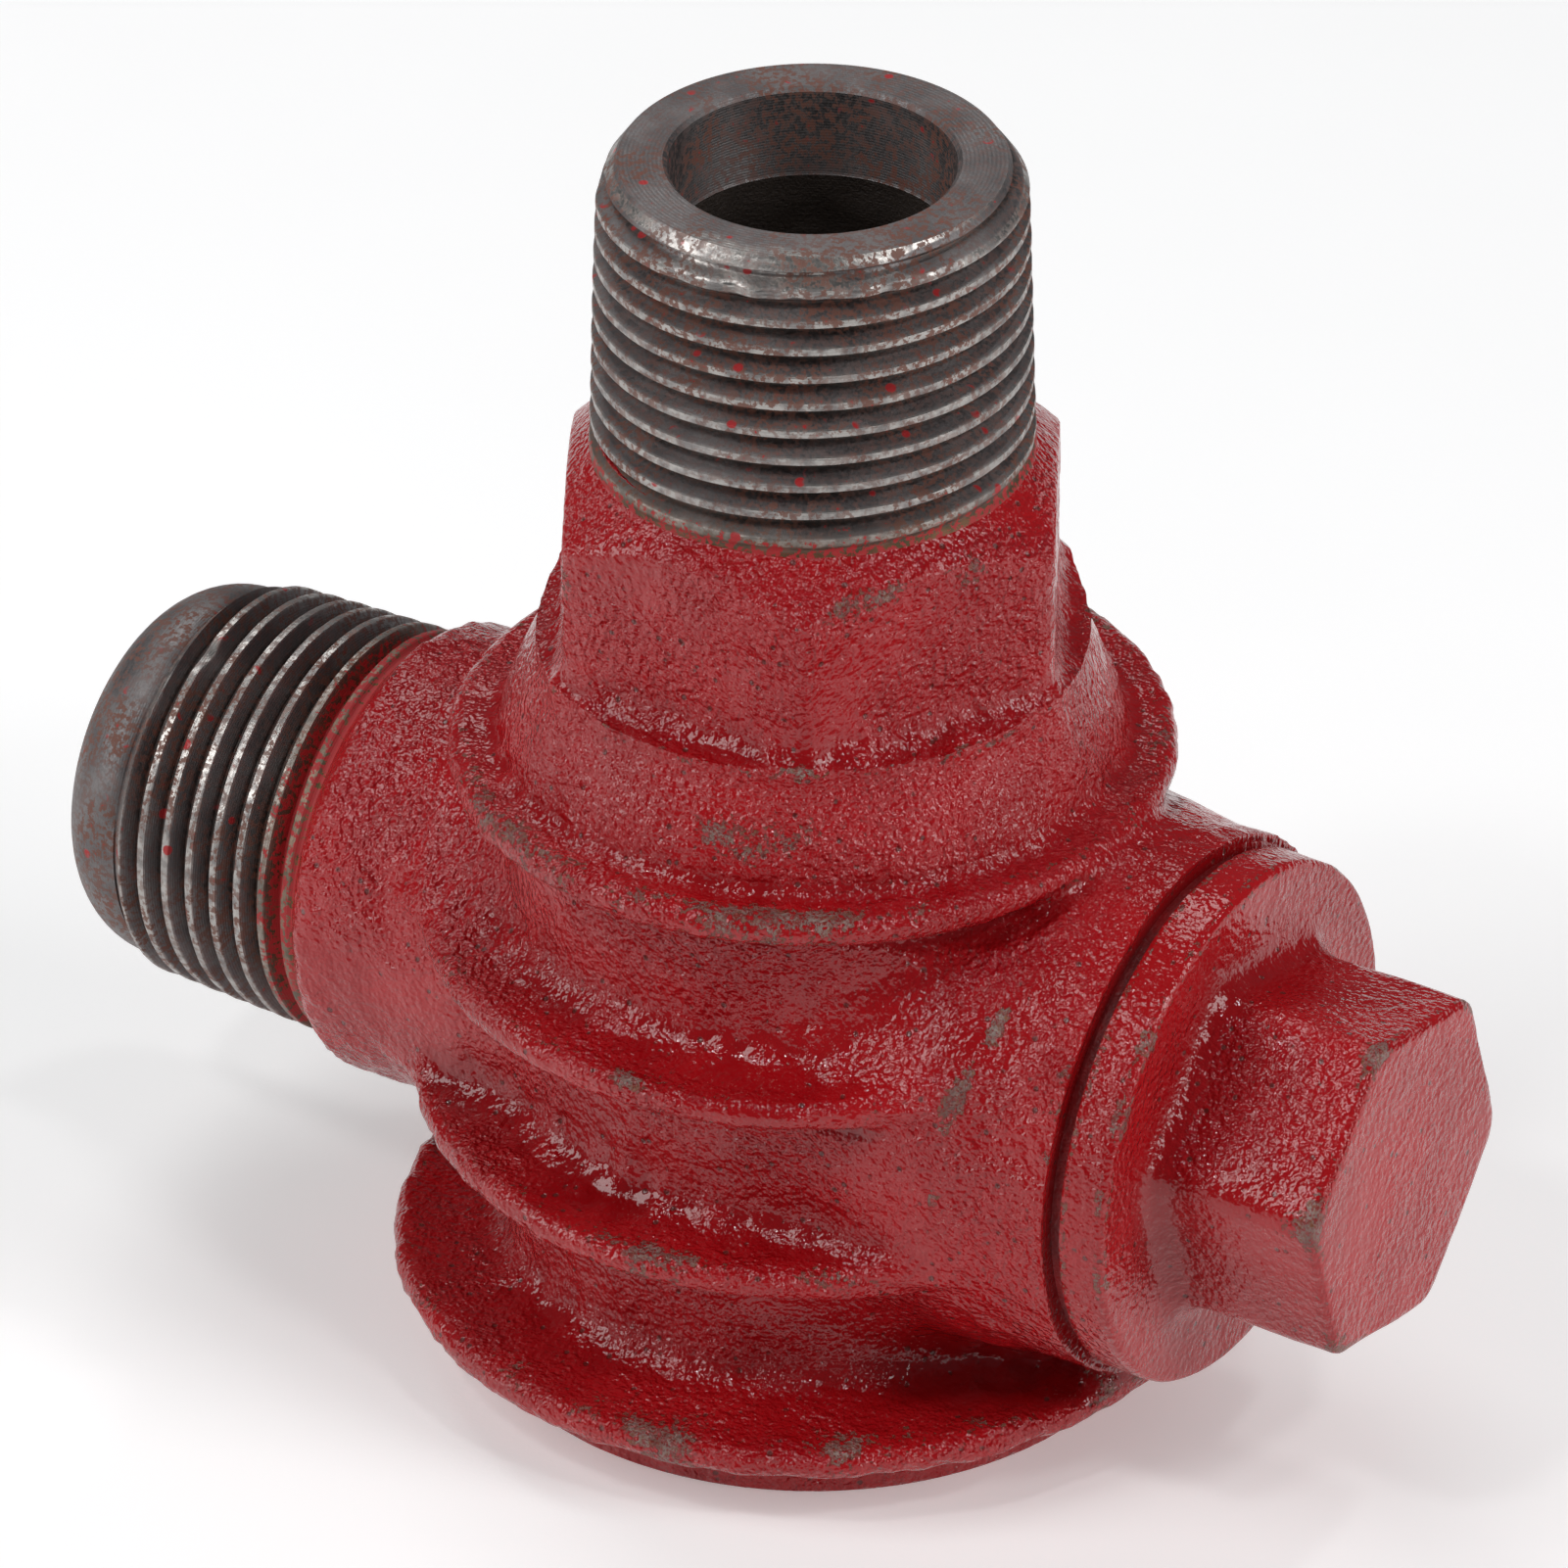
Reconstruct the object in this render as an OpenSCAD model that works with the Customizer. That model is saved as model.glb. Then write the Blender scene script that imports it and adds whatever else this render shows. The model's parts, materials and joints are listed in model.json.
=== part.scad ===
// Angle check valve for a piston air compressor.
// Origin at the centre of the flat base, +Z up through the outlet port. The inlet port points along -X and the
// access plug along +X, both on an axis at the height axis_h. All sizes in millimetres.

/* [Body] */
// Height of the horizontal axis above the base
axis_h = 30; // [28:0.5:38]
// Outside radius of the round body between its ribs
body_r = 23.7; // [22:0.1:28]
// Radius of the flat base
base_r = 26; // [22:0.5:30]
// Height of the step between the base and the lowest rib
base_step_h = 3.2; // [2:0.1:4]
// Wall of the round body between its cavity and its outside
body_wall = 6.2; // [3:0.1:7]
// Thickness of the floor under the cavity
floor_t = 7; // [4:0.5:12]

/* [Ribs] */
// Height of the lowest rib's tip above the base
rib_z = 6.4; // [6:0.1:8]
// Spacing of the ribs
rib_pitch = 15.1; // [14:0.1:17]
// Reach of each rib's tip from the vertical axis, from the bottom up
rib_reach = [33, 30.8, 30.2, 28];
// Radius of a rib's rounded tip
rib_tip_r = 1.1; // [0.8:0.1:1.6]
// Radius of the hollow under and over each rib
rib_fillet = 4; // [2:0.1:5]

/* [Hexagonal neck] */
// Width across the flats of the neck
neck_af = 37; // [34:0.5:42]
// Height of the neck's widest corners above the horizontal axis
neck_h = 44; // [40:0.5:50]
// Height of the foot of the neck above the top rib
neck_foot_h = 9.3; // [7:0.1:12]
// Height of the turned cone between the neck's corners and the thread
neck_cone_h = 4.3; // [3:0.1:6]

/* [Pipe threads] */
// Major diameter of the 1 inch taper pipe thread at its gauge plane
thread_d = 33.249; // [33.249:0.001:33.249]
// Thread pitch, 11 turns to the inch
thread_pitch = 2.309; // [2.309:0.001:2.309]
// Distance from the small end to the gauge plane
gauge_length = 10.391; // [10.391:0.001:10.391]
// Height of the outlet's end face above the horizontal axis
outlet_h = 72.7; // [70:0.1:80]
// Distance of the inlet's end face from the vertical axis
inlet_l = 61.8; // [59:0.2:75]
// Length of the smooth nose in front of the inlet thread
inlet_nose_l = 6.6; // [6.2:0.1:9]

/* [Bores] */
// Diameter of the machined mouth of the outlet
outlet_bore_d = 21.7; // [18:0.1:23]
// Depth of the machined mouth of the outlet
outlet_bore_l = 7.4; // [4:0.1:12]
// Diameter of the cast outlet passage
passage_d = 20.4; // [17:0.1:21]
// Diameter of the inlet bore
inlet_bore_d = 21; // [18:0.1:22]

/* [Inlet boss] */
// Radius of the boss behind the inlet thread
inlet_boss_r = 18.3; // [17.8:0.1:20]
// Distance of the boss's end from the vertical axis
inlet_boss_l = 37.4; // [34:0.1:40]

/* [Plug boss] */
// Radius of the plug boss at its end face
plug_boss_r = 21.5; // [20:0.1:24]
// Distance of the boss's end face from the vertical axis
plug_boss_l = 33.6; // [31:0.1:40]

/* [Access plug] */
// Diameter of the plug's thread
plug_thread_d = 32; // [30:0.5:32]
// Pitch of the plug's thread
plug_pitch = 2; // [1.5:0.5:2]
// Length of the plug's threaded shank
plug_shank_l = 20; // [14:0.5:22]
// Radial play of the plug's thread in its boss
plug_play = 0.1; // [0.05:0.01:0.3]
// Radius of the plug's flange
flange_r = 20.9; // [18.5:0.1:23]
// Thickness of the flange's rim
flange_t = 3.9; // [3:0.1:6]
// Height of the cone between the flange and the hexagon
flange_cone_h = 2.4; // [1:0.1:4]
// Width across the flats of the plug's hexagon
plug_af = 25.5; // [22:0.5:30]
// Length from the flange's inner face to the hexagon's end face
plug_head_l = 18.3; // [14:0.1:24]
// Angle of the hexagon's first corner when the plug is tight
plug_hex_turn = -12.3; // [-30:0.1:30]
// Thickness of the gasket under the flange
gasket_t = 1; // [0.8:0.1:2]
// Distance of the gasket's outer edge inside the flange's edge
gasket_inset = 0.9; // [0.5:0.1:1.5]

/* [Valve] */
// Distance of the seat lip from the vertical axis
seat_l = 13; // [12:0.1:15]
// Diameter of the hole in the seat ring
seat_bore_d = 18.6; // [15:0.1:19]
// Outside diameter of the seat ring
seat_ring_d = 25; // [24:0.1:26]
// Length of the seat ring behind its shoulder
seat_ring_l = 7.5; // [5:0.1:9]
// Height of the seat lip
seat_lip_h = 1.5; // [1:0.1:2]
// Width of the seat lip
seat_lip_w = 1.7; // [1:0.1:2]
// Travel of the poppet from its seat to its stop
poppet_lift = 5; // [3:0.5:6]
// Diameter of the poppet's disc
poppet_d = 24.6; // [24:0.1:26]
// Thickness of the poppet's disc
poppet_t = 4.5; // [4:0.1:6]
// Diameter of the poppet's hub
hub_d = 12; // [11:0.1:13]
// Length of the poppet's hub
hub_l = 12.5; // [8:0.1:14]
// Diameter of the poppet's guide stem
stem_d = 8; // [6:0.1:9]
// Length of the guide stem beyond the hub
stem_l = 20; // [14:0.5:24]
// Radial play of the stem in its guide
stem_play = 0.05; // [0.03:0.01:0.1]
// Outside diameter of the guide post in the plug
guide_d = 13; // [12:0.1:14]
// Diameter of the seal disc
seal_d = 22.4; // [22.2:0.1:23]
// Thickness of the seal disc
seal_t = 2.5; // [2:0.1:3]
// Depth to which the poppet holds the seal disc
seal_recess = 1.5; // [1:0.1:2]
// Radial play of the seal disc in its recess
seal_play = 0.05; // [0.03:0.01:0.2]
// Diameter of the washer that clamps the seal disc
washer_d = 13; // [10:0.1:15]
// Thickness of the washer
washer_t = 1.2; // [1:0.1:2]
// Diameter of the screw that holds the washer
screw_d = 5; // [4:0.5:6]
// Width across the flats of the screw's head
screw_af = 8; // [7:0.5:10]
// Height of the screw's head
screw_head_h = 3.5; // [3:0.1:4]
// Length of the screw's shank
screw_l = 14; // [10:0.5:16]
// Radial play of the screw in its holes
screw_play = 0.05; // [0.03:0.01:0.1]

/* [Spring] */
// Wire diameter of the spring
wire_d = 1.1; // [0.8:0.1:1.4]
// Radial play between the spring and the guide post
spring_play = 1.6; // [1:0.1:2]
// Number of coils
coils = 9; // [6:1:12]
// Play between each end of the spring and its seat
spring_end_play = 0.05; // [0.02:0.01:0.1]

/* [Hidden] */
$fn = 96;

// Paint and bare metals
red = [0.55, 0.05, 0.06];
steel = [0.6, 0.6, 0.62];
brass_colour = [0.78, 0.62, 0.3];
seal_colour = [0.92, 0.92, 0.88];
gasket_colour = [0.16, 0.15, 0.15];

// Taper pipe thread form
thread_taper = 1 / 32;
thread_depth = 0.6403 * thread_pitch;
crest_flat = 0.35;
root_flat = 0.35;
gauge_r = thread_d / 2;
outlet_face_r = 14.5;
outlet_chamfer_h = 2.4;
inlet_nose_r = 15.3;
inlet_nose_round = 6;
boss_chamfer = 1.5;

// Heights on the vertical axis and radii of the hexagons, corner to centre
top_rib_z = rib_z + (len(rib_reach) - 1) * rib_pitch;
neck_r = neck_af / 2 / cos(30);
plug_hex_r = plug_af / 2 / cos(30);
screw_hex_r = screw_af / 2 / cos(30);
cone_top_r = plug_hex_r - 0.4;
cavity_r = body_r - body_wall;
cavity_top_z = axis_h + cavity_r;
seat_face_r = seat_ring_d / 2 + 2;
base_chamfer = 0.8;
base_flare = 0.8;

// Places on the horizontal axis
flange_x = plug_boss_l + gasket_t;
shank_end_x = flange_x - plug_shank_l;
plug_bore_x = shank_end_x - 2;
seal_x = -seat_l;
disc_x = seal_x + seal_t - seal_recess;
disc_back_x = disc_x + poppet_t;
hub_end_x = disc_back_x + hub_l;
stem_end_x = hub_end_x + stem_l;
guide_end_x = hub_end_x + poppet_lift;
guide_bottom_x = stem_end_x + poppet_lift + 3;
pocket_x = shank_end_x + 10;
pocket_r = guide_d / 2 + spring_play + wire_d + 1;
spring_r = guide_d / 2 + spring_play + wire_d / 2;
spring_start_x = disc_back_x + spring_end_play;
spring_end_x = pocket_x - spring_end_play;
seat_back_x = -seat_l - seat_lip_h - seat_ring_l;
seal_r = seal_d / 2;
screw_hole_r = screw_d / 2 + screw_play;
plug_thread_form = 0.6134;
wire_sides = 8;
steps_per_coil = 20;

function arc(x, y, r, from, to, steps = 5) =
    [for (i = [0:steps]) let (a = from + (to - from) * i / steps) [x + r * cos(a), y + r * sin(a)]];

// One rib of the body's outline from below to above: hollow, rounded tip, hollow
function rib_outline(z, reach) = concat(
    arc(body_r + rib_fillet, z - rib_tip_r - rib_fillet, rib_fillet, 180, 90),
    arc(reach - rib_tip_r, z, rib_tip_r, -90, 90),
    arc(body_r + rib_fillet, z + rib_tip_r + rib_fillet, rib_fillet, 270, 180));

// Annular ridges with the section and taper of the pipe thread, from the crest "first" below the gauge plane to
// the crest "last" above it
function thread_outline(gauge_h, first, last) = [
    for (k = [first:last])
    let (h = gauge_h + k * thread_pitch, crest = gauge_r - k * thread_pitch * thread_taper,
         root = crest - thread_depth, half = (thread_pitch - root_flat) / 2)
    each [[root, h - half], [crest, h - crest_flat / 2], [crest, h + crest_flat / 2], [root, h + half]]];

// Turns a shape drawn along +Z so that it lies along +X on the horizontal axis
module on_axis(x = 0) {
    translate([x, 0, axis_h]) rotate([0, 90, 0]) children();
}

module ribbed_barrel() {
    first = rib_outline(rib_z, rib_reach[0]);
    lowest_hollow = 5;
    rotate_extrude()
        polygon(concat(
            [[0, 0], [base_r - base_chamfer, 0], [base_r, base_chamfer], [base_r + base_flare, base_step_h]],
            [for (i = [lowest_hollow + 1:len(first) - 1]) first[i]],
            [for (i = [1:len(rib_reach) - 2]) each rib_outline(rib_z + i * rib_pitch, rib_reach[i])],
            arc(body_r + rib_fillet, top_rib_z - rib_tip_r - rib_fillet, rib_fillet, 180, 90),
            arc(rib_reach[3] - rib_tip_r, top_rib_z, rib_tip_r, -90, 90),
            [[rib_reach[3] - 3.2, top_rib_z + 0.5], [rib_reach[3] - 4, top_rib_z + 2.3]],
            arc(neck_r + 5, top_rib_z + neck_foot_h, 5, 235, 180),
            [[0, top_rib_z + neck_foot_h]]));
}

module neck() {
    corner_z = axis_h + neck_h;
    intersection() {
        translate([0, 0, top_rib_z]) cylinder(h = corner_z + neck_cone_h - top_rib_z, r = neck_r, $fn = 6);
        rotate_extrude()
            polygon([[0, top_rib_z - 1], [neck_r + 1, top_rib_z - 1], [neck_r + 1, corner_z - 1], [neck_r, corner_z],
                     [(neck_r + gauge_r) / 2 - 0.3, corner_z + neck_cone_h * 0.56],
                     [gauge_r, corner_z + neck_cone_h], [0, corner_z + neck_cone_h]]);
    }
}

module outlet_port() {
    top_z = axis_h + outlet_h;
    gauge_z = top_z - gauge_length;
    rotate_extrude()
        polygon(concat(
            [[0, top_rib_z], [gauge_r - 0.6, top_rib_z], [gauge_r - 0.6, gauge_z - 5.9 * thread_pitch]],
            thread_outline(gauge_z, -5, 3),
            [[gauge_r - 0.5, top_z - outlet_chamfer_h], [outlet_face_r, top_z], [0, top_z]]));
}

module inlet_port() {
    nose_end_angle = 73;
    thread_end_l = inlet_l - inlet_nose_l;
    gauge_l = thread_end_l - gauge_length;
    on_axis() mirror([0, 0, 1]) {
        rotate_extrude()
            polygon(concat(
                [[0, 0], [gauge_r - 1, 0], [gauge_r - 1, gauge_l - 3.9 * thread_pitch]],
                thread_outline(gauge_l, -3, 4),
                arc(inlet_nose_r - inlet_nose_round, inlet_l - inlet_nose_round * sin(nose_end_angle),
                    inlet_nose_round, 0, nose_end_angle, 8),
                [[0, inlet_l]]));
        cylinder(h = inlet_boss_l - boss_chamfer, r = inlet_boss_r);
        translate([0, 0, inlet_boss_l - boss_chamfer])
            cylinder(h = boss_chamfer, r1 = inlet_boss_r, r2 = inlet_boss_r - boss_chamfer);
    }
}

module plug_boss() {
    on_axis() cylinder(h = plug_boss_l, r1 = plug_boss_r + 0.9, r2 = plug_boss_r);
}

module cavity() {
    top_z = axis_h + outlet_h;
    translate([0, 0, floor_t]) cylinder(h = cavity_top_z - floor_t, r = cavity_r);
    translate([0, 0, axis_h]) cylinder(h = outlet_h, r = passage_d / 2);
    translate([0, 0, top_z - outlet_bore_l]) cylinder(h = outlet_bore_l + 1, r = outlet_bore_d / 2);
    on_axis(-inlet_l - 1) cylinder(h = inlet_l + 1, r = inlet_bore_d / 2);
    on_axis(seat_back_x) cylinder(h = seat_ring_l + 1, r = seat_ring_d / 2);
    on_axis(-seat_l - seat_lip_h) cylinder(h = seat_l + seat_lip_h, r = seat_face_r);
    on_axis(plug_bore_x) cylinder(h = plug_boss_l - plug_bore_x + 1, r = plug_thread_d / 2 + plug_play);
}

module valve_body() {
    color(red) difference() {
        union() {
            ribbed_barrel();
            neck();
            outlet_port();
            inlet_port();
            plug_boss();
        }
        cavity();
    }
}

module plug_head() {
    on_axis(flange_x) {
        rotate_extrude()
            polygon([[0, 0], [flange_r, 0], [flange_r, flange_t], [cone_top_r, flange_t + flange_cone_h],
                     [0, flange_t + flange_cone_h]]);
        rotate([0, 0, 90 + plug_hex_turn]) cylinder(h = plug_head_l, r = plug_hex_r, $fn = 6);
    }
}

module plug_shank() {
    ridges = floor(plug_shank_l / plug_pitch) - 1;
    crest = plug_thread_d / 2;
    root = crest - plug_thread_form * plug_pitch;
    on_axis(shank_end_x)
        rotate_extrude()
            polygon(concat(
                [[0, 0], [root, 0]],
                [for (i = [0:ridges - 1]) let (h = (i + 1) * plug_pitch)
                    each [[root, h - 0.45 * plug_pitch], [crest, h - 0.1 * plug_pitch],
                          [crest, h + 0.1 * plug_pitch], [root, h + 0.45 * plug_pitch]]],
                [[root, plug_shank_l], [0, plug_shank_l]]));
}

module access_plug() {
    color(red) difference() {
        union() {
            plug_head();
            difference() {
                plug_shank();
                on_axis(shank_end_x - 1) cylinder(h = pocket_x - shank_end_x + 1, r = pocket_r);
            }
            on_axis(guide_end_x) cylinder(h = pocket_x - guide_end_x + 1, r = guide_d / 2);
        }
        on_axis(guide_end_x - 1) cylinder(h = guide_bottom_x - guide_end_x + 1, r = stem_d / 2 + stem_play);
    }
}

module plug_gasket() {
    color(gasket_colour) on_axis(plug_boss_l) difference() {
        cylinder(h = gasket_t, r = flange_r - gasket_inset);
        translate([0, 0, -1]) cylinder(h = gasket_t + 2, r = plug_thread_d / 2 + plug_play);
    }
}

module seat_ring() {
    lip_r = seat_bore_d / 2 + seat_lip_w;
    color(brass_colour) on_axis(seat_back_x) difference() {
        union() {
            cylinder(h = seat_ring_l, r = seat_ring_d / 2);
            cylinder(h = seat_ring_l + seat_lip_h, r = lip_r);
        }
        translate([0, 0, -1]) cylinder(h = seat_ring_l + seat_lip_h + 2, r = seat_bore_d / 2);
    }
}

module valve_poppet() {
    color(brass_colour) difference() {
        union() {
            on_axis(disc_x) cylinder(h = poppet_t, r = poppet_d / 2);
            on_axis(disc_back_x) cylinder(h = hub_l, r = hub_d / 2);
            on_axis(hub_end_x) cylinder(h = stem_l, r = stem_d / 2);
        }
        on_axis(disc_x - 1) cylinder(h = seal_recess + 1, r = seal_r + seal_play);
        on_axis(disc_x) cylinder(h = screw_l - washer_t, r = screw_hole_r);
    }
}

module seal_disc() {
    color(seal_colour) on_axis(seal_x) difference() {
        cylinder(h = seal_t, r = seal_r);
        translate([0, 0, -1]) cylinder(h = seal_t + 2, r = screw_hole_r);
    }
}

module seal_washer() {
    color(steel) on_axis(seal_x - washer_t) difference() {
        cylinder(h = washer_t, r = washer_d / 2);
        translate([0, 0, -1]) cylinder(h = washer_t + 2, r = screw_hole_r);
    }
}

module seal_screw() {
    color(steel) {
        on_axis(seal_x - washer_t - screw_head_h) cylinder(h = screw_head_h, r = screw_hex_r, $fn = 6);
        on_axis(seal_x - washer_t) cylinder(h = screw_l, r = screw_d / 2);
    }
}

// Points of a round wire's section, swept along a helix
function wire_ring(turn, rise) = [
    for (i = [0:wire_sides - 1])
    let (a = 360 * i / wire_sides, r = spring_r + wire_d / 2 * cos(a))
    [r * cos(360 * turn), r * sin(360 * turn), turn * rise + wire_d / 2 * (1 + sin(a))]];

module valve_spring() {
    rise = (spring_end_x - spring_start_x - wire_d) / coils;
    rings = coils * steps_per_coil;
    points = [for (k = [0:rings]) each wire_ring(k / steps_per_coil, rise)];
    sides = [for (k = [0:rings - 1], i = [0:wire_sides - 1])
        let (a = k * wire_sides + i, b = k * wire_sides + (i + 1) % wire_sides)
        [a, b, b + wire_sides, a + wire_sides]];
    ends = [[for (i = [0:wire_sides - 1]) wire_sides - 1 - i],
            [for (i = [0:wire_sides - 1]) rings * wire_sides + i]];
    color(steel) on_axis(spring_start_x) polyhedron(points, concat(sides, ends));
}

valve_body();
access_plug();
plug_gasket();
seat_ring();
valve_poppet();
seal_disc();
seal_washer();
seal_screw();
valve_spring();
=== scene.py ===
# %% [markdown]
# # An air compressor's check valve, cell by cell
# This lesson dresses a finished mechanical design. The design already holds every size, joint and fit, so
# nothing here is measured again: each cell takes its places from the loaded frame and adds what a lathe,
# a mould and a paint pot leave behind.

# %% Load the frame
import json
import math

import bpy
import numpy as np
from mathutils import Matrix, Vector


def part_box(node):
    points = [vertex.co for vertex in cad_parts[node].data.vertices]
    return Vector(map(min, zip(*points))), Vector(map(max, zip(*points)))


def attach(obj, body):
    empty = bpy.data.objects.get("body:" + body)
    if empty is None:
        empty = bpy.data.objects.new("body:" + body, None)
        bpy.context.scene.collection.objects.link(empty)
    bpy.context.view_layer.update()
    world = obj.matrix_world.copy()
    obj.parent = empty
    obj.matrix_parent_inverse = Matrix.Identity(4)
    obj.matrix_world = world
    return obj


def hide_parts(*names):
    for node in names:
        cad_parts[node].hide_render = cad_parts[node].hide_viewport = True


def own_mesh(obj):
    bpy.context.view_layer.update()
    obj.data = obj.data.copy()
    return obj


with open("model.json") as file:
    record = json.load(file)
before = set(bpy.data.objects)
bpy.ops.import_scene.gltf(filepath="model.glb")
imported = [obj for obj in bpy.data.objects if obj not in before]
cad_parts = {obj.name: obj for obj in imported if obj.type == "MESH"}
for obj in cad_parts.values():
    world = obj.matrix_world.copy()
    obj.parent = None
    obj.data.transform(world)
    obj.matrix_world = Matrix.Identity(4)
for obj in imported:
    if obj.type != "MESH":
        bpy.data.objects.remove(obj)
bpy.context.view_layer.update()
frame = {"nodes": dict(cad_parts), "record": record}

# %% [markdown]
# The record of the design names its pipe threads and bores. Reading them here means that a change to the
# design moves every thread below. Modelling in millimetres keeps the numbers readable, and meshes are
# turned into metres only when they are made.

# %% Sizes that come from the frame
MM = 0.001
mounts = {m["name"]: m for m in frame["record"]["mounts"]}


def box_mm(node):
    return [np.array(corner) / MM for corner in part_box(node)]


body_low, body_high = box_mm("valve_body")
plug_low, plug_high = box_mm("access_plug")
gasket_low, gasket_high = box_mm("plug_gasket")
axis_h = mounts["inlet_thread"]["pos_m"][2] / MM
outlet_end = body_high[2] - axis_h
inlet_end = -body_low[0]
gauge_r = mounts["outlet_thread"]["dims"]["r_mm"]
outlet_gauge = mounts["outlet_thread"]["pos_m"][2] / MM - axis_h
inlet_gauge = -mounts["inlet_thread"]["pos_m"][0] / MM
bore_r = mounts["outlet_bore"]["dims"]["r_mm"]
bore_depth = mounts["outlet_bore"]["dims"]["length_mm"]
inlet_bore_r = mounts["inlet_bore"]["dims"]["r_mm"]
boss_end = gasket_low[0]
print(f"axis {axis_h:.1f} mm high, thread radius {gauge_r:.2f} mm at the gauge plane")

# %% [markdown]
# ## The casting as a distance field
# The body is one iron casting: a ribbed barrel, a hexagonal neck and two bosses that flow into each
# other. Joining such shapes with booleans leaves hard creases, and sculpting them by hand is slow. A
# distance field is a function that says how far any point is from the surface, negative inside. Two
# fields are joined with a soft minimum, and the softness is the fillet, which is just how a moulder rubs
# a fillet into the pattern.

# %% Rules for joining distance fields
def soft_join(a, b, softness):
    """The nearer of two shapes, with a fillet as wide as the softness where they meet."""
    near = np.maximum(softness - np.abs(a - b), 0) / softness
    return np.minimum(a, b) - near * near * softness / 4


def cut_away(a, b, softness):
    """Shape a with shape b taken out of it."""
    return -soft_join(-a, b, softness)


def keep_common(a, b, softness):
    """Only what lies in both shapes."""
    return -soft_join(-a, -b, softness)


def slab(u, v, u0, u1, v0, v1):
    """Distance to a rectangle in a half-plane, which a revolve turns into a ring or a disc."""
    du = np.maximum(u0 - u, u - u1)
    dv = np.maximum(v0 - v, v - v1)
    return np.minimum(np.maximum(du, dv), 0) + np.hypot(np.maximum(du, 0), np.maximum(dv, 0))


def bar(u, v, u0, v0, u1, v1, r0, r1):
    """Distance to a round-ended bar that tapers from radius r0 to r1, which a revolve turns into a rib."""
    du, dv = u1 - u0, v1 - v0
    t = np.clip(((u - u0) * du + (v - v0) * dv) / (du * du + dv * dv), 0, 1)
    return np.hypot(u - u0 - t * du, v - v0 - t * dv) - (r0 + t * (r1 - r0))


def smooth_step(x, low, high):
    """0 below low, 1 above high, and a soft S between them."""
    t = np.clip((x - low) / (high - low), 0, 1)
    return t * t * (3 - 2 * t)


print("two walls that meet, 1 mm off each, joined softly:", soft_join(1.0, 1.0, 2.0))

# %% [markdown]
# Sand leaves a skin that is never quite flat. A table of random numbers on a lattice, blended between its
# points, gives a bumpiness of any size that is the same on every run.

# %% Repeatable bumpiness
TABLE = 32
lattice = np.random.default_rng(7).uniform(-1, 1, (TABLE, TABLE, TABLE)).astype(np.float32)


def bumps(points, size, shift=0):
    """Smooth random values between -1 and 1 with features about as large as the size, in millimetres."""
    p = points / size + shift * 5.37
    cell = np.floor(p).astype(np.int32)
    f = p - cell
    f = f * f * (3 - 2 * f)
    total = 0
    for dx in (0, 1):
        for dy in (0, 1):
            for dz in (0, 1):
                weight = abs(1 - dx - f[..., 0]) * abs(1 - dy - f[..., 1]) * abs(1 - dz - f[..., 2])
                c = (cell + (dx, dy, dz)) % TABLE
                total = total + weight * lattice[c[..., 0], c[..., 1], c[..., 2]]
    return total


print("random numbers in the table:", lattice.size)

# %% [markdown]
# ## The ribbed barrel
# Four ribs ring the barrel. Each has a short, tight hollow under it and a long hollow on top, because the
# pattern was drawn out of the sand upwards. So the fillet's softness changes with the height beside each
# rib.

# %% Barrel, ribs and base
barrel_r = 23.7
base_r = 27.0
base_height = 4.2
rib_heights = [6.4, 21.5, 36.6, 51.7]
rib_reach = [(body_high[1] - body_low[1]) / 2 - 0.15, 30.8, 30.2, 28.0]
rib_tip = 1.25
rib_root = 1.7
rib_fillet_below = 1.0
rib_fillet_above = 4.4


def wall_field(r, z):
    d = slab(r, z, -1, barrel_r - 0.4, 1, rib_heights[3]) - 0.4
    return soft_join(d, slab(r, z, -1, base_r - 0.6, 0.6, base_height) - 0.6, 1.5)


def add_ribs(d, r, z):
    for height, reach in zip(rib_heights, rib_reach):
        rib = bar(r, z, barrel_r - 3, height - 0.4, reach - rib_tip, height, rib_root, rib_tip)
        above = smooth_step(z, height - 0.8, height + 1.2) * (height < rib_heights[3])
        d = soft_join(d, rib, rib_fillet_below + (rib_fillet_above - rib_fillet_below) * above)
    return d


print("ribs reach", [round(float(r), 2) for r in rib_reach])

# %% [markdown]
# ## The hexagonal neck
# A wrench grips the neck to screw the valve into the tank. The hexagon is cast, so its corners are
# rounded, but its top was turned in the lathe together with the thread: the cone leaves a curved edge on
# every flat.

# %% Neck, shoulder and turned cone
neck_corner_r = 21.4
corner_z = axis_h + 44.0
cone_top = axis_h + 48.4
shoulder_r = 24.4
rim_z = rib_heights[3]
neck_foot_z = rim_z + 9.3


def hexagon(u, v, flats, turn, rounding):
    """Distance to a six-sided bar with rounded corners. Flats is half the width across the flats."""
    d = None
    for k in range(3):
        a = math.radians(turn + 30 + 60 * k)
        side = np.abs(u * math.cos(a) + v * math.sin(a)) - flats
        d = side if d is None else keep_common(d, side, rounding)
    return d


def neck_field(x, y, z, r):
    column = hexagon(x, y, neck_corner_r * math.cos(math.radians(30)), 0, 0.9)
    column = np.maximum(column, np.maximum(rim_z - 2 - z, z - cone_top - 4))
    rise = np.clip((z - rim_z) / (neck_foot_z - rim_z), 0, 1)
    skirt = (r - (shoulder_r - 3.3 * rise**1.5)) * 0.94
    skirt = np.maximum(skirt, np.maximum(rim_z - 2 - z, z - neck_foot_z - 1))
    d = soft_join(column, skirt, 3.4)
    cone = (r - gauge_r) * 0.66 + (z - cone_top) * 0.75
    d = keep_common(d, cone, 0.25)
    stub = slab(r, z, -1, gauge_r - 0.25, rim_z, cone_top + 1.5)
    return soft_join(d, stub, 0.8)


print(f"neck from {neck_foot_z:.1f} to {cone_top:.1f} mm, {neck_corner_r:.1f} mm to a corner")

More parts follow.
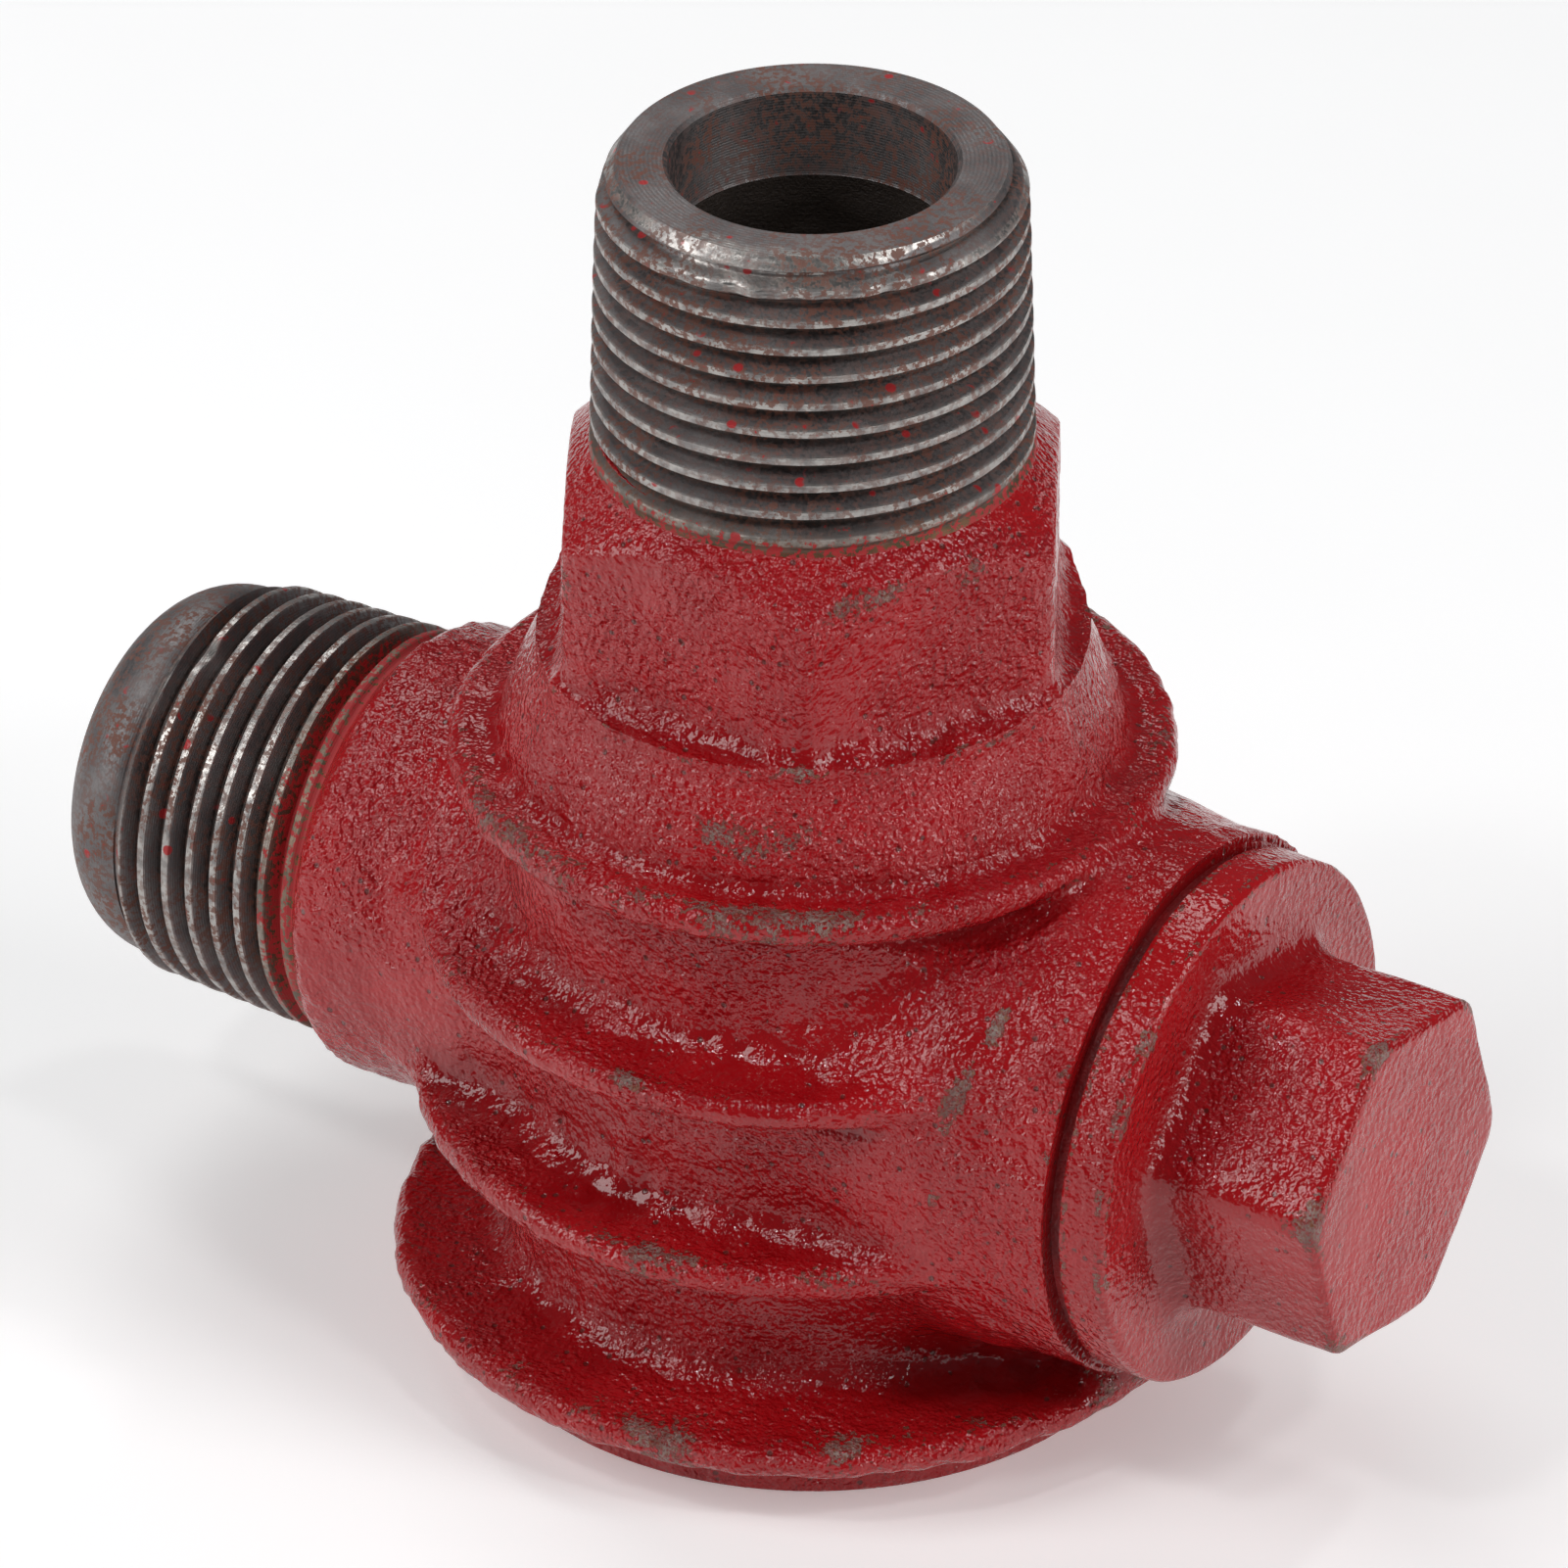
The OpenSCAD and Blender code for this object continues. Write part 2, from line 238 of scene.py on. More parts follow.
# %% [markdown]
# ## The two bosses
# One boss carries the inlet thread and ends in a small chamfer. The other is bored and faced for the
# access plug. Both swell a little where they run into the barrel, and the ribs die away into them.

# %% Bosses along the horizontal axis
inlet_boss_r = 18.3
inlet_boss_end = 37.4
inlet_chamfer = 1.5
plug_boss_r = 21.5
boss_swell = 0.9


def boss_field(x, rho):
    out = -x
    swell = boss_swell * smooth_step(out, 30, 20)
    inlet = np.maximum(rho - inlet_boss_r - swell, np.maximum(x, out - inlet_boss_end))
    chamfer = (rho + out - inlet_boss_r - inlet_boss_end + inlet_chamfer) * 0.707
    inlet = keep_common(inlet, chamfer, 0.4)
    inlet = soft_join(inlet, slab(rho, out, -1, gauge_r - 0.4, 0, inlet_boss_end + 1.2), 0.5)
    plug = rho - plug_boss_r - boss_swell * smooth_step(x, 31, 22)
    plug = np.maximum(plug, -x)
    return inlet, plug


print("bosses reach x", -inlet_boss_end, "and", round(float(boss_end), 2))

# %% [markdown]
# ## The hollows
# Inside are the cast chamber and passage, and the cuts made by machine: the plug's bore, the spot face
# and the pocket of the seat ring. They match the design's own hollows, so the ring and the poppet fit.

# %% Chamber, passages and bores
chamber_r = 17.5
floor_z = 7.0
passage_r = 10.5
seat_low, seat_high = box_mm("seat_ring")
seat_ring_r = (seat_high[2] - seat_low[2]) / 2
seat_lip = 1.5
face_x = seat_high[0] - seat_lip
thread_play = 0.1
plug_thread_r = 16.0


def hollow_field(x, r, rho, z):
    chamber = slab(r, z, -1, chamber_r - 2, floor_z + 2, axis_h + chamber_r - 2) - 2
    cast = soft_join(chamber, slab(r, z, -1, passage_r, axis_h, cone_top + 9), 3)
    cuts = slab(rho, x, -1, inlet_bore_r, -inlet_end - 9, -5)
    cuts = np.minimum(cuts, slab(rho, x, -1, seat_ring_r, seat_low[0], 0))
    cuts = np.minimum(cuts, slab(rho, x, -1, seat_ring_r + 2, face_x, 2))
    plug_hole = slab(rho, x, -1, plug_thread_r + thread_play, plug_low[0] - 2, boss_end + 9)
    return cast, np.minimum(cuts, plug_hole)


print(f"seat ring's pocket: radius {seat_ring_r:.2f} mm, spot face at x {face_x:.2f}")

# %% [markdown]
# The whole casting is the outside, filleted together, minus the hollows. The sand skin is added on the
# outside only: a lazy wave some millimetres long, a shorter one, and lumps about as large as a grain of
# coarse sand. Faces that a lathe has cut stay flat.

# %% The casting's field
inlet_fillet = 3.2
plug_fillet = 4.0
neck_fillet = 1.0


def casting_outside(x, y, z):
    r = np.hypot(x, y)
    rho = np.hypot(y, z - axis_h)
    inlet, plug = boss_field(x, rho)
    d = soft_join(wall_field(r, z), inlet, inlet_fillet)
    d = soft_join(d, plug, plug_fillet)
    d = add_ribs(d, r, z)
    d = soft_join(d, neck_field(x, y, z, r), neck_fillet)
    return d, r, rho


def sand_skin(points):
    """How far the skin stands proud. The lumps come and go over a few millimetres."""
    waves = 0.08 * bumps(points, 7.0) + 0.06 * bumps(points, 2.3, 1)
    return waves + 0.13 * bumps(points, 1.3, 2) * (1 + bumps(points, 9.0, 5))


def casting_field(points):
    x, y, z = points[..., 0], points[..., 1], points[..., 2]
    d, r, rho = casting_outside(x, y, z)
    near = np.abs(d) < 1.2
    turned_neck = smooth_step(z, corner_z - 1.5, corner_z)
    turned_inlet = smooth_step(-x, inlet_boss_end - 1, inlet_boss_end)
    cast_skin = 1 - np.minimum(turned_neck + turned_inlet, 1)
    off_the_table = smooth_step(z, 0.2, 1.5)
    d[near] -= sand_skin(points[near]) * cast_skin[near] * off_the_table[near]
    cast, cuts = hollow_field(x, r, rho, z)
    d = np.maximum(d, x - boss_end)
    d = np.maximum(d, -z)
    return cut_away(np.maximum(d, -cast), cuts, 0.05)


print("casting field at the chamber's centre:", casting_field(np.array([[0.0, 0.0, 30.0]])))

# %% [markdown]
# ## From field to mesh
# A grid of points is laid over the part and the field is read at each one. Wherever a grid line passes
# from inside to outside there is a bit of surface, and the four grid cells round that line give one
# four-sided face. Marching cubes would do, but it rounds every machined edge. Placing each cell's vertex
# where the planes of its crossings meet, called dual contouring, keeps a bored or faced edge crisp. First
# the crossings are found.

# %% Where grid lines pierce the surface
def field_normal(field, points, reach=0.05):
    steps = np.eye(3) * reach
    slope = np.stack([field(points + s) - field(points - s) for s in steps], -1)
    return slope / np.maximum(np.linalg.norm(slope, axis=-1, keepdims=True), 1e-9)


def crossings(field, values, low, step, axis):
    """Each piercing along one axis: its node, the point, its normal and whether the node is inside."""
    first = [slice(None)] * 3
    second = [slice(None)] * 3
    first[axis], second[axis] = slice(None, -1), slice(1, None)
    a, b = values[tuple(first)], values[tuple(second)]
    node = np.argwhere((a < 0) != (b < 0))
    fa, fb = a[tuple(node.T)], b[tuple(node.T)]
    ends = [low + step * node, low + step * (node + np.eye(3)[axis])]
    t = (fa / (fa - fb))[:, None]
    for _ in range(2):
        point = ends[0] * (1 - t) + ends[1] * t
        f = field(point)
        same = ((f < 0) == (fa < 0))[:, None]
        ends = [np.where(same, point, ends[0]), np.where(same, ends[1], point)]
        fa, fb = np.where(same[:, 0], f, fa), np.where(same[:, 0], fb, f)
        t = np.clip(fa / np.where(fa == fb, 1, fa - fb), 0, 1)[:, None]
    point = ends[0] * (1 - t) + ends[1] * t
    return node, point, field_normal(field, point), values[tuple(node.T)] < 0


print("slope of the casting's wall, seen from +X:", field_normal(casting_field, np.array([[0.0, 23.7, 14.0]])))

# %% [markdown]
# Then each cell that touches a piercing gets one vertex. Every piercing says "stay in my plane", and the
# vertex that breaks these wishes least is found by least squares, all cells at once. A small pull towards
# the middle of the piercings keeps it still on flat stretches, where the planes leave it free to slide.

# %% Dual contouring
PULL = 0.06
OVERHANG = 0.1


def plane_sums(found, around, cell_of, count):
    """For each cell: the sums of its planes, of its piercings and how many there are."""
    total = np.zeros((count, 13))
    for (_, point, normal, _), cells in zip(found, around):
        offset = (normal * point).sum(1)
        parts = [normal[:, i] * normal[:, j] for i in range(3) for j in range(i, 3)]
        parts += [normal[:, i] * offset for i in range(3)]
        parts += [point[:, i] for i in range(3)]
        parts.append(np.ones(len(point)))
        for c in cells:
            index = cell_of[tuple(c.T)]
            for k, part in enumerate(parts):
                total[:, k] += np.bincount(index, part, count)
    return total


def contour(field, low, high, step):
    """Vertices in millimetres and four-sided faces of the surface where the field is zero."""
    low = np.array(low, float)
    count = np.ceil((np.array(high) - low) / step).astype(int) + 1
    axes = [low[i] + step * np.arange(count[i]) for i in range(3)]
    layer = np.stack(np.meshgrid([0.0], axes[1], axes[2], indexing="ij"), -1)
    values = np.concatenate([field(layer + (x, 0, 0)) for x in axes[0]])
    cell_of = np.full(count, -1, np.int64)
    found = [crossings(field, values, low, step, axis) for axis in range(3)]
    around = []
    for axis, (node, _, _, _) in enumerate(found):
        u, v = np.eye(3, dtype=int)[(axis + 1) % 3], np.eye(3, dtype=int)[(axis + 2) % 3]
        cells = [node - u - v, node - v, node, node - u]
        around.append(cells)
        for c in cells:
            cell_of[tuple(c.T)] = 1
    used = np.argwhere(cell_of > 0)
    cell_of[tuple(used.T)] = np.arange(len(used))
    total = plane_sums(found, around, cell_of, len(used))
    share = total[:, 12:13]
    middle = total[:, 9:12] / share
    square = total[:, [0, 1, 2, 1, 3, 4, 2, 4, 5]].reshape(-1, 3, 3)
    right = total[:, 6:9] - np.einsum("nij,nj->ni", square, middle)
    held = square + PULL * share[:, :, None] * np.eye(3)
    vertices = middle + np.linalg.solve(held, right[:, :, None])[:, :, 0]
    cell_low = low + step * used
    vertices = np.clip(vertices, cell_low - OVERHANG * step, cell_low + (1 + OVERHANG) * step)
    faces = []
    for (_, _, _, inside), cells in zip(found, around):
        quad = np.stack([cell_of[tuple(c.T)] for c in cells], 1)
        faces.append(np.where(inside[:, None], quad, quad[:, ::-1]))
    return vertices, np.concatenate(faces)


# %% [markdown]
# Every mesh in this lesson is made by the same helper, which also stores numbers at the vertices for the
# materials to read, such as how exposed an edge is. Each piece rides on a body of the frame, so it moves
# with it.

# %% Making objects
def make_object(name, vertices, faces, body, values=None):
    """A mesh object from points in millimetres, riding on a body of the frame."""
    mesh = bpy.data.meshes.new(name)
    mesh.from_pydata((np.asarray(vertices) * MM).tolist(), [], [list(map(int, f)) for f in faces])
    for key, data in (values or {}).items():
        layer = mesh.attributes.new(key, "FLOAT", "POINT")
        layer.data.foreach_set("value", np.asarray(data, np.float32))
    mesh.validate()
    mesh.shade_smooth()
    piece = bpy.data.objects.new(name, mesh)
    bpy.context.scene.collection.objects.link(piece)
    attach(piece, body)
    return piece


def sharpen(piece, degrees):
    """Shade smoothly, but for edges where the faces turn by more than this."""
    piece.data.set_sharp_from_angle(angle=math.radians(degrees))


# %% [markdown]
# Paint wears off where a part is touched: on rib tips, corners and rims. The field finds those places.
# Standing just inside the surface, a point under a flat face is as deep as the step taken, but a point
# under a thin edge is shallower. The same step taken outwards finds the hollows, where the paint is
# darkened as painted shade.

# %% How exposed and how hollow each point is
def exposure(field, points, depth):
    """Two numbers from 0 to 1 at each point: on an edge, and in a hollow."""
    normal = field_normal(field, points, 0.2)
    edge = 1 + field(points - normal * depth) / depth
    hollow = 1 - field(points + normal * depth) / depth
    return np.clip(edge, 0, 1), np.clip(hollow, 0, 1)


# %% [markdown]
# Some marks have no cause in the shape: this valve was dragged, dropped and gripped. Each mark is a
# place, a size and a strength that is added to the exposure there. The ribs also get a scatter of small
# ones.

# %% Knocks and scrapes
def add_marks(edge, points, marks):
    """The exposure with marks of (x, y, z, size, strength) added."""
    for x, y, z, size, strength in marks:
        far = np.linalg.norm(points - (x, y, z), axis=-1)
        edge = edge + strength * np.exp(-((far / size) ** 2))
    return edge


shoulder_marks = [(8.2, -21.5, 56.8, 2.6, 0.5), (4.7, -22.5, 57.1, 2.0, 0.5), (11.5, -19.9, 57.4, 2.2, 0.5)]
rim_marks = [(8.3, -26.7, 52.5, 2.4, 0.30), (12.4, -25.0, 52.6, 3.0, 0.26), (16.4, -22.4, 52.6, 2.6, 0.30)]
rim_marks += [(21.2, -17.8, 52.7, 1.8, 0.22), (-11.6, -25.2, 52.7, 2.8, 0.32), (-5.3, -27.4, 52.3, 2.2, 0.28)]
rim_marks += [(1.5, -27.7, 52.4, 2.4, 0.22), (-16.5, -22.5, 52.6, 2.2, 0.26)]
rib_marks = [(2.2, -29.8, 37.5, 1.8, 0.3), (9.2, -28.3, 37.7, 1.2, 0.2), (2.9, -30.7, 21.8, 1.6, 0.32)]
rib_marks += [(17.5, -25.2, 22.9, 1.8, 0.3), (5.6, -32.0, 7.3, 2.4, 0.2), (18.2, -25.8, 7.7, 2.4, 0.24)]
boss_marks = [(33.6, -17.4, 42.5, 1.5, 0.6), (33.6, -20.6, 36.2, 1.4, 0.55), (33.6, -18.8, 40.2, 1.2, 0.5)]
scratch_start = np.array([27.1, -15.7, 45.1])
scratch_run = np.array([-2.1, -5.2, -7.0])
for t in np.linspace(0, 1, 12):
    boss_marks.append((*(scratch_start + scratch_run * t), 0.8 + 0.3 * t, 0.42 + 0.12 * math.sin(9 * t)))
boss_marks += [(24.8, -21.4, 36.4, 0.9, 0.6), (24.6, -22.0, 33.6, 0.8, 0.55), (24.5, -22.3, 31.0, 1.1, 0.65)]
neck_marks = [(12.4, -15.6, 74.9, 2.2, 0.50), (17.7, -6.4, 75.6, 2.8, 0.60), (14.8, -12.1, 75.4, 2.2, 0.55)]
neck_marks += [(10.7, -19.2, 62.2, 1.8, 0.4), (-10.6, -18.4, 72.0, 1.8, 0.45), (19.0, -9.0, 73.0, 2.0, 0.42)]
body_marks = shoulder_marks + rim_marks + rib_marks + boss_marks + neck_marks
spread = np.random.default_rng(21)
for k in range(26):
    around, height = spread.uniform(0, 2 * math.pi), spread.choice(rib_heights)
    reach = dict(zip(rib_heights, rib_reach))[height] - 0.5
    size = spread.uniform(1, 2.5)
    body_marks.append((reach * math.cos(around), reach * math.sin(around), height, size, 0.25))
print(len(body_marks), "marks on the body")

# %% [markdown]
# The casting is now contoured. A grid step of 0.66 mm holds the ribs' hollows and the sand's lumps, and
# finer grain is left to the material. The numbers stored with it tell paint, bare casting and machined
# faces apart.

# %% Cast the body
CAST_STEP = 0.66


def outside_only(points):
    return casting_outside(points[..., 0], points[..., 1], points[..., 2])[0]


grid_low = [-inlet_boss_end - 2.5, -rib_reach[0] - 1.5, -1.2]
grid_high = [boss_end + 1.2, rib_reach[0] + 1.5, cone_top + 3.5]
points, faces = contour(casting_field, grid_low, grid_high, CAST_STEP)
px, py, pz = points.T
rho = np.hypot(py, pz - axis_h)
cast, cuts = hollow_field(px, np.hypot(px, py), rho, pz)
edge, hollow = exposure(outside_only, points, 1.6)
edge = add_marks(edge * smooth_step(pz, 2.5, 5.0), points, body_marks)
inside = (np.minimum(cast, cuts) < 0.25) & (outside_only(points) < -0.35)
machined = (cuts < 0.12) & inside
casting = make_object(
    "valve_casting", points, faces, "casting",
    {
        "edge": edge * ~inside,
        "hollow": hollow,
        "raw": inside.astype(float),
        "machined": machined.astype(float),
    },
)
sharpen(casting, 42)
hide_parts("valve_body")
print("casting:", len(points), "vertices,", len(faces), "faces")

# %% [markdown]
# ## Pipe threads
# A thread is one ridge that climbs like a ramp round a cylinder. So the mesh is a sheet of rows that
# climb at the same rate: every row then keeps its place on the ridge, from root to crest, all the way
# round. The last column joins the first one pitch higher. Rows that would run past an end are held on it,
# and merged there.

# %% Helix sheet
COLUMNS = 176
ROWS = 16
PLAIN_WALL = 0.75


def ridge(phase):
    """Height of a worn thread between 0 at its narrow root and 1 at its broad crest."""
    swing = np.abs((phase % 1) * 2 - 1)
    return smooth_step(swing, 0.04, 0.82) * 0.5 + np.clip((swing - 0.10) / 0.64, 0, 1) * 0.5


def merge_points(points, quads):
    """One vertex for all that share a place, and faces without their collapsed sides."""
    flat = points.reshape(-1, 3)
    _, first, merged = np.unique(np.round(flat, 4), axis=0, return_index=True, return_inverse=True)
    faces = []
    for quad in merged.reshape(-1)[np.concatenate(quads)]:
        corners = [int(c) for c, before in zip(quad, np.roll(quad, 1)) if c != before]
        if len(set(corners)) > 2 and len(set(corners)) == len(corners):
            faces.append(corners)
    return first, faces


def threaded_piece(low, high, pitch, outer, rings):
    """A piece with a helix outside and plain rings from its tip to wherever the rings lead.

    outer gives the radius for an angle, a height and the ridge there. Each ring is (radius, height)."""
    turns = (high - low) / pitch
    angle = np.arange(COLUMNS) * 2 * math.pi / COLUMNS
    row = np.arange(-ROWS, int(math.ceil(turns * ROWS)) + 1)[:, None]
    z = np.clip(low + pitch * (row / ROWS + angle / (2 * math.pi)), low, high)
    phase = (z - low) / pitch - angle / (2 * math.pi)
    radius = outer(angle + 0 * z, z, ridge(phase))
    points = np.stack([radius * np.cos(angle), radius * np.sin(angle), z], -1)
    crest = ridge(phase)
    for ring_r, ring_z in rings:
        ring = np.stack([ring_r * np.cos(angle), ring_r * np.sin(angle), ring_z + 0 * angle], -1)
        points = np.concatenate([points, ring[None]])
        crest = np.concatenate([crest, PLAIN_WALL + 0 * angle[None]])
    sheet_rows, all_rows = len(row), len(points)
    index = np.arange(all_rows * COLUMNS).reshape(all_rows, COLUMNS)
    quads = []
    for i in range(sheet_rows - 1):
        here, above = index[i], index[i + 1]
        here_on = np.append(here[1:], index[min(i + ROWS, sheet_rows - 1)][0])
        above_on = np.append(above[1:], index[min(i + 1 + ROWS, sheet_rows - 1)][0])
        quads.append(np.stack([here, here_on, above_on, above], 1))
    for i in range(sheet_rows - 1, all_rows - 1):
        here, above = index[i], index[i + 1]
        quads.append(np.stack([here, np.roll(here, -1), np.roll(above, -1), above], 1))
    here, above = index[-1], index[0]
    quads.append(np.stack([here, np.roll(here, -1), np.roll(above, -1), above], 1))
    first, faces = merge_points(points, quads)
    return points.reshape(-1, 3)[first], faces, crest.reshape(-1)[first]


heights = [round(float(ridge(t)), 2) for t in (0.5, 0.25, 0.0)]
print("ridge height at the root, half way and at the crest:", heights)

# %% [markdown]
# Both pipe threads are taper threads: the radius grows by 1 mm in every 32 mm of length towards the body,
# and that is what seals them. The last turns fade out where the cutting tool was drawn back. A nick is a
# dent at an angle and a height, with a width and a depth, and it presses the crest down more than the
# root.

# %% Taper thread, worn and nicked
PIPE_PITCH = 2.309
PIPE_DEPTH = 0.6403 * PIPE_PITCH
PIPE_TAPER = 1 / 32
CREST_WEAR = 0.12
NICK_HEIGHT = 0.9
FADE = 1.6 * PIPE_PITCH


def pipe_thread(gauge, low, tip_r, tip_length, high, nicks):
    def outer(angle, z, height):
        crest_r = gauge_r - (z - gauge) * PIPE_TAPER
        fade = smooth_step(z, low + 0.2, low + FADE)
        radius = crest_r - CREST_WEAR - PIPE_DEPTH * (1 - height) * fade
        for where, z0, width, depth in nicks:
            turn = np.angle(np.exp(1j * (angle - math.radians(where))))
            dent = np.exp(-((turn * crest_r / width) ** 2) - ((z - z0) / NICK_HEIGHT) ** 2)
            radius = radius - depth * dent * height
        points = np.stack([radius * np.cos(angle), radius * np.sin(angle), z], -1)
        radius = radius - 0.05 * np.abs(bumps(points, 1.4, 3)) * height - 0.03 * bumps(points, 5.0, 4)
        return np.minimum(radius, tip_r + (high - z) * (gauge_r - tip_r - 0.2) / tip_length)
    return outer


print(f"pipe thread: pitch {PIPE_PITCH} mm, depth {PIPE_DEPTH:.2f} mm")

# %% [markdown]
# The outlet's tip has a broad chamfer, dented by years of wrenches, then a flat face and a bore that was
# cut with a boring bar. Under the bore the passage is as it was cast, so its rings wander. The dents are
# scuffed bright, which is told to the material by raising the crest number there.

# %% Outlet thread
outlet_low = cone_top - axis_h - 0.9
nicks = [
    (-96, outlet_end - 2.4, 1.3, 0.45),
    (-88, outlet_end - 2.1, 0.8, 0.30),
    (-80, outlet_end - 2.5, 1.2, 0.60),
    (-70, outlet_end - 2.2, 0.9, 0.35),
    (-63, outlet_end - 2.7, 1.0, 0.50),
    (-54, outlet_end - 2.3, 1.4, 0.40),
    (-38, outlet_end - 2.6, 0.8, 0.30),
    (205, outlet_end - 2.3, 1.8, 0.40),
]
face_r = 14.5
cast_passage_r = 10.55
RING_DROP = 0.9
TURN_RISE = 1.37
shape = pipe_thread(outlet_gauge, outlet_low, face_r + 0.1, 2.5, outlet_end, nicks)
ledge = outlet_end - bore_depth
rings = [(face_r, outlet_end), (bore_r + 0.35, outlet_end), (bore_r, outlet_end - 0.35)]
rings += [(bore_r, ledge + 0.2), (bore_r - 0.15, ledge), (cast_passage_r + 0.07, ledge)]
rings += [(cast_passage_r + 0.05 * math.sin(k * 1.7), ledge - RING_DROP * k) for k in range(1, 19)]
rings += [(cast_passage_r - 0.15, outlet_low)]
points, faces, crest = threaded_piece(outlet_low, outlet_end, PIPE_PITCH, shape, rings)
r = np.hypot(points[:, 0], points[:, 1])
cast_wall = (r < bore_r - 0.2) & (points[:, 2] < ledge + 0.01)
p = points[cast_wall]
points[cast_wall, :2] *= (1 + (0.012 * bumps(p, 2.2, 5) + 0.008 * bumps(p, 1.1, 6)))[:, None]
run_out = 1 - smooth_step(points[:, 2], outlet_low + 0.5, outlet_low + 3.2)
for where in [nick[0] for nick in nicks]:
    a = math.radians(where)
    scuff = (face_r * math.cos(a), face_r * math.sin(a), outlet_end - 1.6)
    far = np.linalg.norm((points - scuff) * (1, 1, 1.6), axis=1)
    crest = crest + 0.9 * np.exp(-((far / 1.9) ** 2))
crest = np.minimum(crest, 1)
points[:, 2] += axis_h
outlet = make_object(
    "outlet_thread", points, faces, "casting",
    {"edge": crest, "turn": r + TURN_RISE * points[:, 2], "raw": cast_wall.astype(float), "root": run_out},
)
sharpen(outlet, 40)
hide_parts("valve_body")
print("outlet thread:", len(points), "vertices, crest radius", round(float(r.max()), 2))

# %% [markdown]
# The inlet takes the compressor's delivery pipe. The same builder makes its thread lying on its side. In
# front of the thread is a smooth nose, turned round so that a pipe's cone can press on it. Paint has run
# into the last roots, so the number that marks them grows where the ridge is low.

# %% Inlet thread and nose
NOSE_LENGTH = 6.6
NOSE_R = 15.3
NOSE_ROUND = 6.0
NOSE_ANGLE = 73
inlet_low = inlet_boss_end - 1.0
thread_end = inlet_end - NOSE_LENGTH
nicks = [(-20, thread_end - 3.2, 1.2, 0.55), (120, thread_end - 5.5, 1.0, 0.3)]
shape = pipe_thread(inlet_gauge, inlet_low, NOSE_R - 0.2, 1.3, thread_end, nicks)
nose_z = inlet_end - NOSE_ROUND * math.sin(math.radians(NOSE_ANGLE))
rings = [(NOSE_R - 0.12, thread_end + 0.1)]
for k in range(13):
    a = math.radians(NOSE_ANGLE * k / 12)
    rings.append((NOSE_R - NOSE_ROUND * (1 - math.cos(a)), nose_z + NOSE_ROUND * math.sin(a)))
inlet_wall_r = inlet_bore_r - 0.05
rings += [(inlet_bore_r + 0.2, inlet_end), (inlet_wall_r, inlet_end - 0.3), (inlet_wall_r, inlet_low)]
points, faces, crest = threaded_piece(inlet_low, thread_end, PIPE_PITCH, shape, rings)
r = np.hypot(points[:, 0], points[:, 1])
turn = r + TURN_RISE * points[:, 2]
run_out = 1 - smooth_step(points[:, 2], inlet_low + 2.5, inlet_low + 6.0)
points = np.stack([-points[:, 2], points[:, 1], points[:, 0] + axis_h], 1)
inlet = make_object(
    "inlet_thread", points, faces, "casting",
    {"edge": crest, "turn": turn, "raw": 0 * r, "root": run_out * (1.5 - 0.6 * crest)},
)
sharpen(inlet, 40)
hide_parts("valve_body")
print("inlet thread:", len(points), "vertices, crest radius", round(float(r.max()), 2))

# %% [markdown]
# ## The access plug
# The plug's head was forged or cast, not turned, so it gets its own small distance field: a flange, a
# hexagon with soft corners and the fillet between them. Wrenches have knocked its corners, and the
# flange's rim is worn.

# %% Plug head
flange_x = gasket_high[0]
flange_top = flange_x + 3.9
flange_r = (plug_high[2] - plug_low[2]) / 2
flange_round = 0.55
head_end = plug_high[0]
hex_corner_r = 14.72
hex_turn = -12.3
head_fillet = 3.2


def head_field(points):
    x, y, z = points[..., 0], points[..., 1], points[..., 2] - axis_h
    rho = np.hypot(y, z)
    flange = slab(rho, x, -1, flange_r - 0.6, flange_x + 0.4, flange_top - flange_round) - flange_round
    flange = keep_common(flange, flange_x - x, 0.3)
    hexagonal = hexagon(y, z, hex_corner_r * math.cos(math.radians(30)) - 0.05, hex_turn, 1.3)
    end_cone = (rho - hex_corner_r - 0.25) * 0.5 + (x - head_end + 0.4) * 0.866
    hexagonal = keep_common(hexagonal, end_cone, 0.5)
    hexagonal = keep_common(hexagonal, x - head_end + 0.02, 0.8)
    hexagonal = np.maximum(hexagonal, flange_x + 1 - x)
    d = soft_join(flange, hexagonal, head_fillet)
    near = np.abs(d) < 1
    p = points[near]
    skin = 0.07 * bumps(p, 6.0, 8) + 0.03 * bumps(p, 1.6, 9)
    d[near] -= skin * smooth_step(x[near], flange_x + 0.3, flange_top)
    return d


HEAD_STEP = 0.36
reach = flange_r + 1.2
grid_low = [flange_x - 1, -reach, axis_h - reach]
grid_high = [head_end + 1, reach, axis_h + reach]
points, faces = contour(head_field, grid_low, grid_high, HEAD_STEP)
edge, hollow = exposure(head_field, points, 1.2)
corner_sizes = (1.2, 1.6, 2.6, 3.0, 2.6, 1.4)
corner_strengths = (0.2, 0.3, 0.45, 0.55, 0.5, 0.25)
head_marks = []
for k in range(6):
    a = math.radians(60 * k + hex_turn)
    side, height = hex_corner_r * math.cos(a), axis_h + hex_corner_r * math.sin(a)
    head_marks.append((head_end - 0.3, side, height, corner_sizes[k], corner_strengths[k]))
head_marks += [(flange_top, -17.4, axis_h + 10.0, 1.6, 0.4), (flange_top, -20.3, axis_h + 4.0, 1.6, 0.3)]
head_marks += [(flange_top, -20.8, axis_h - 3.0, 2.0, 0.25), (flange_top, -14.0, axis_h + 15.0, 1.6, 0.25)]
edge = add_marks(edge, points, head_marks)
head = make_object("plug_head", points, faces, "plug", {"edge": edge, "hollow": hollow})
sharpen(head, 50)
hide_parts("access_plug")
print("plug head:", len(points), "vertices")

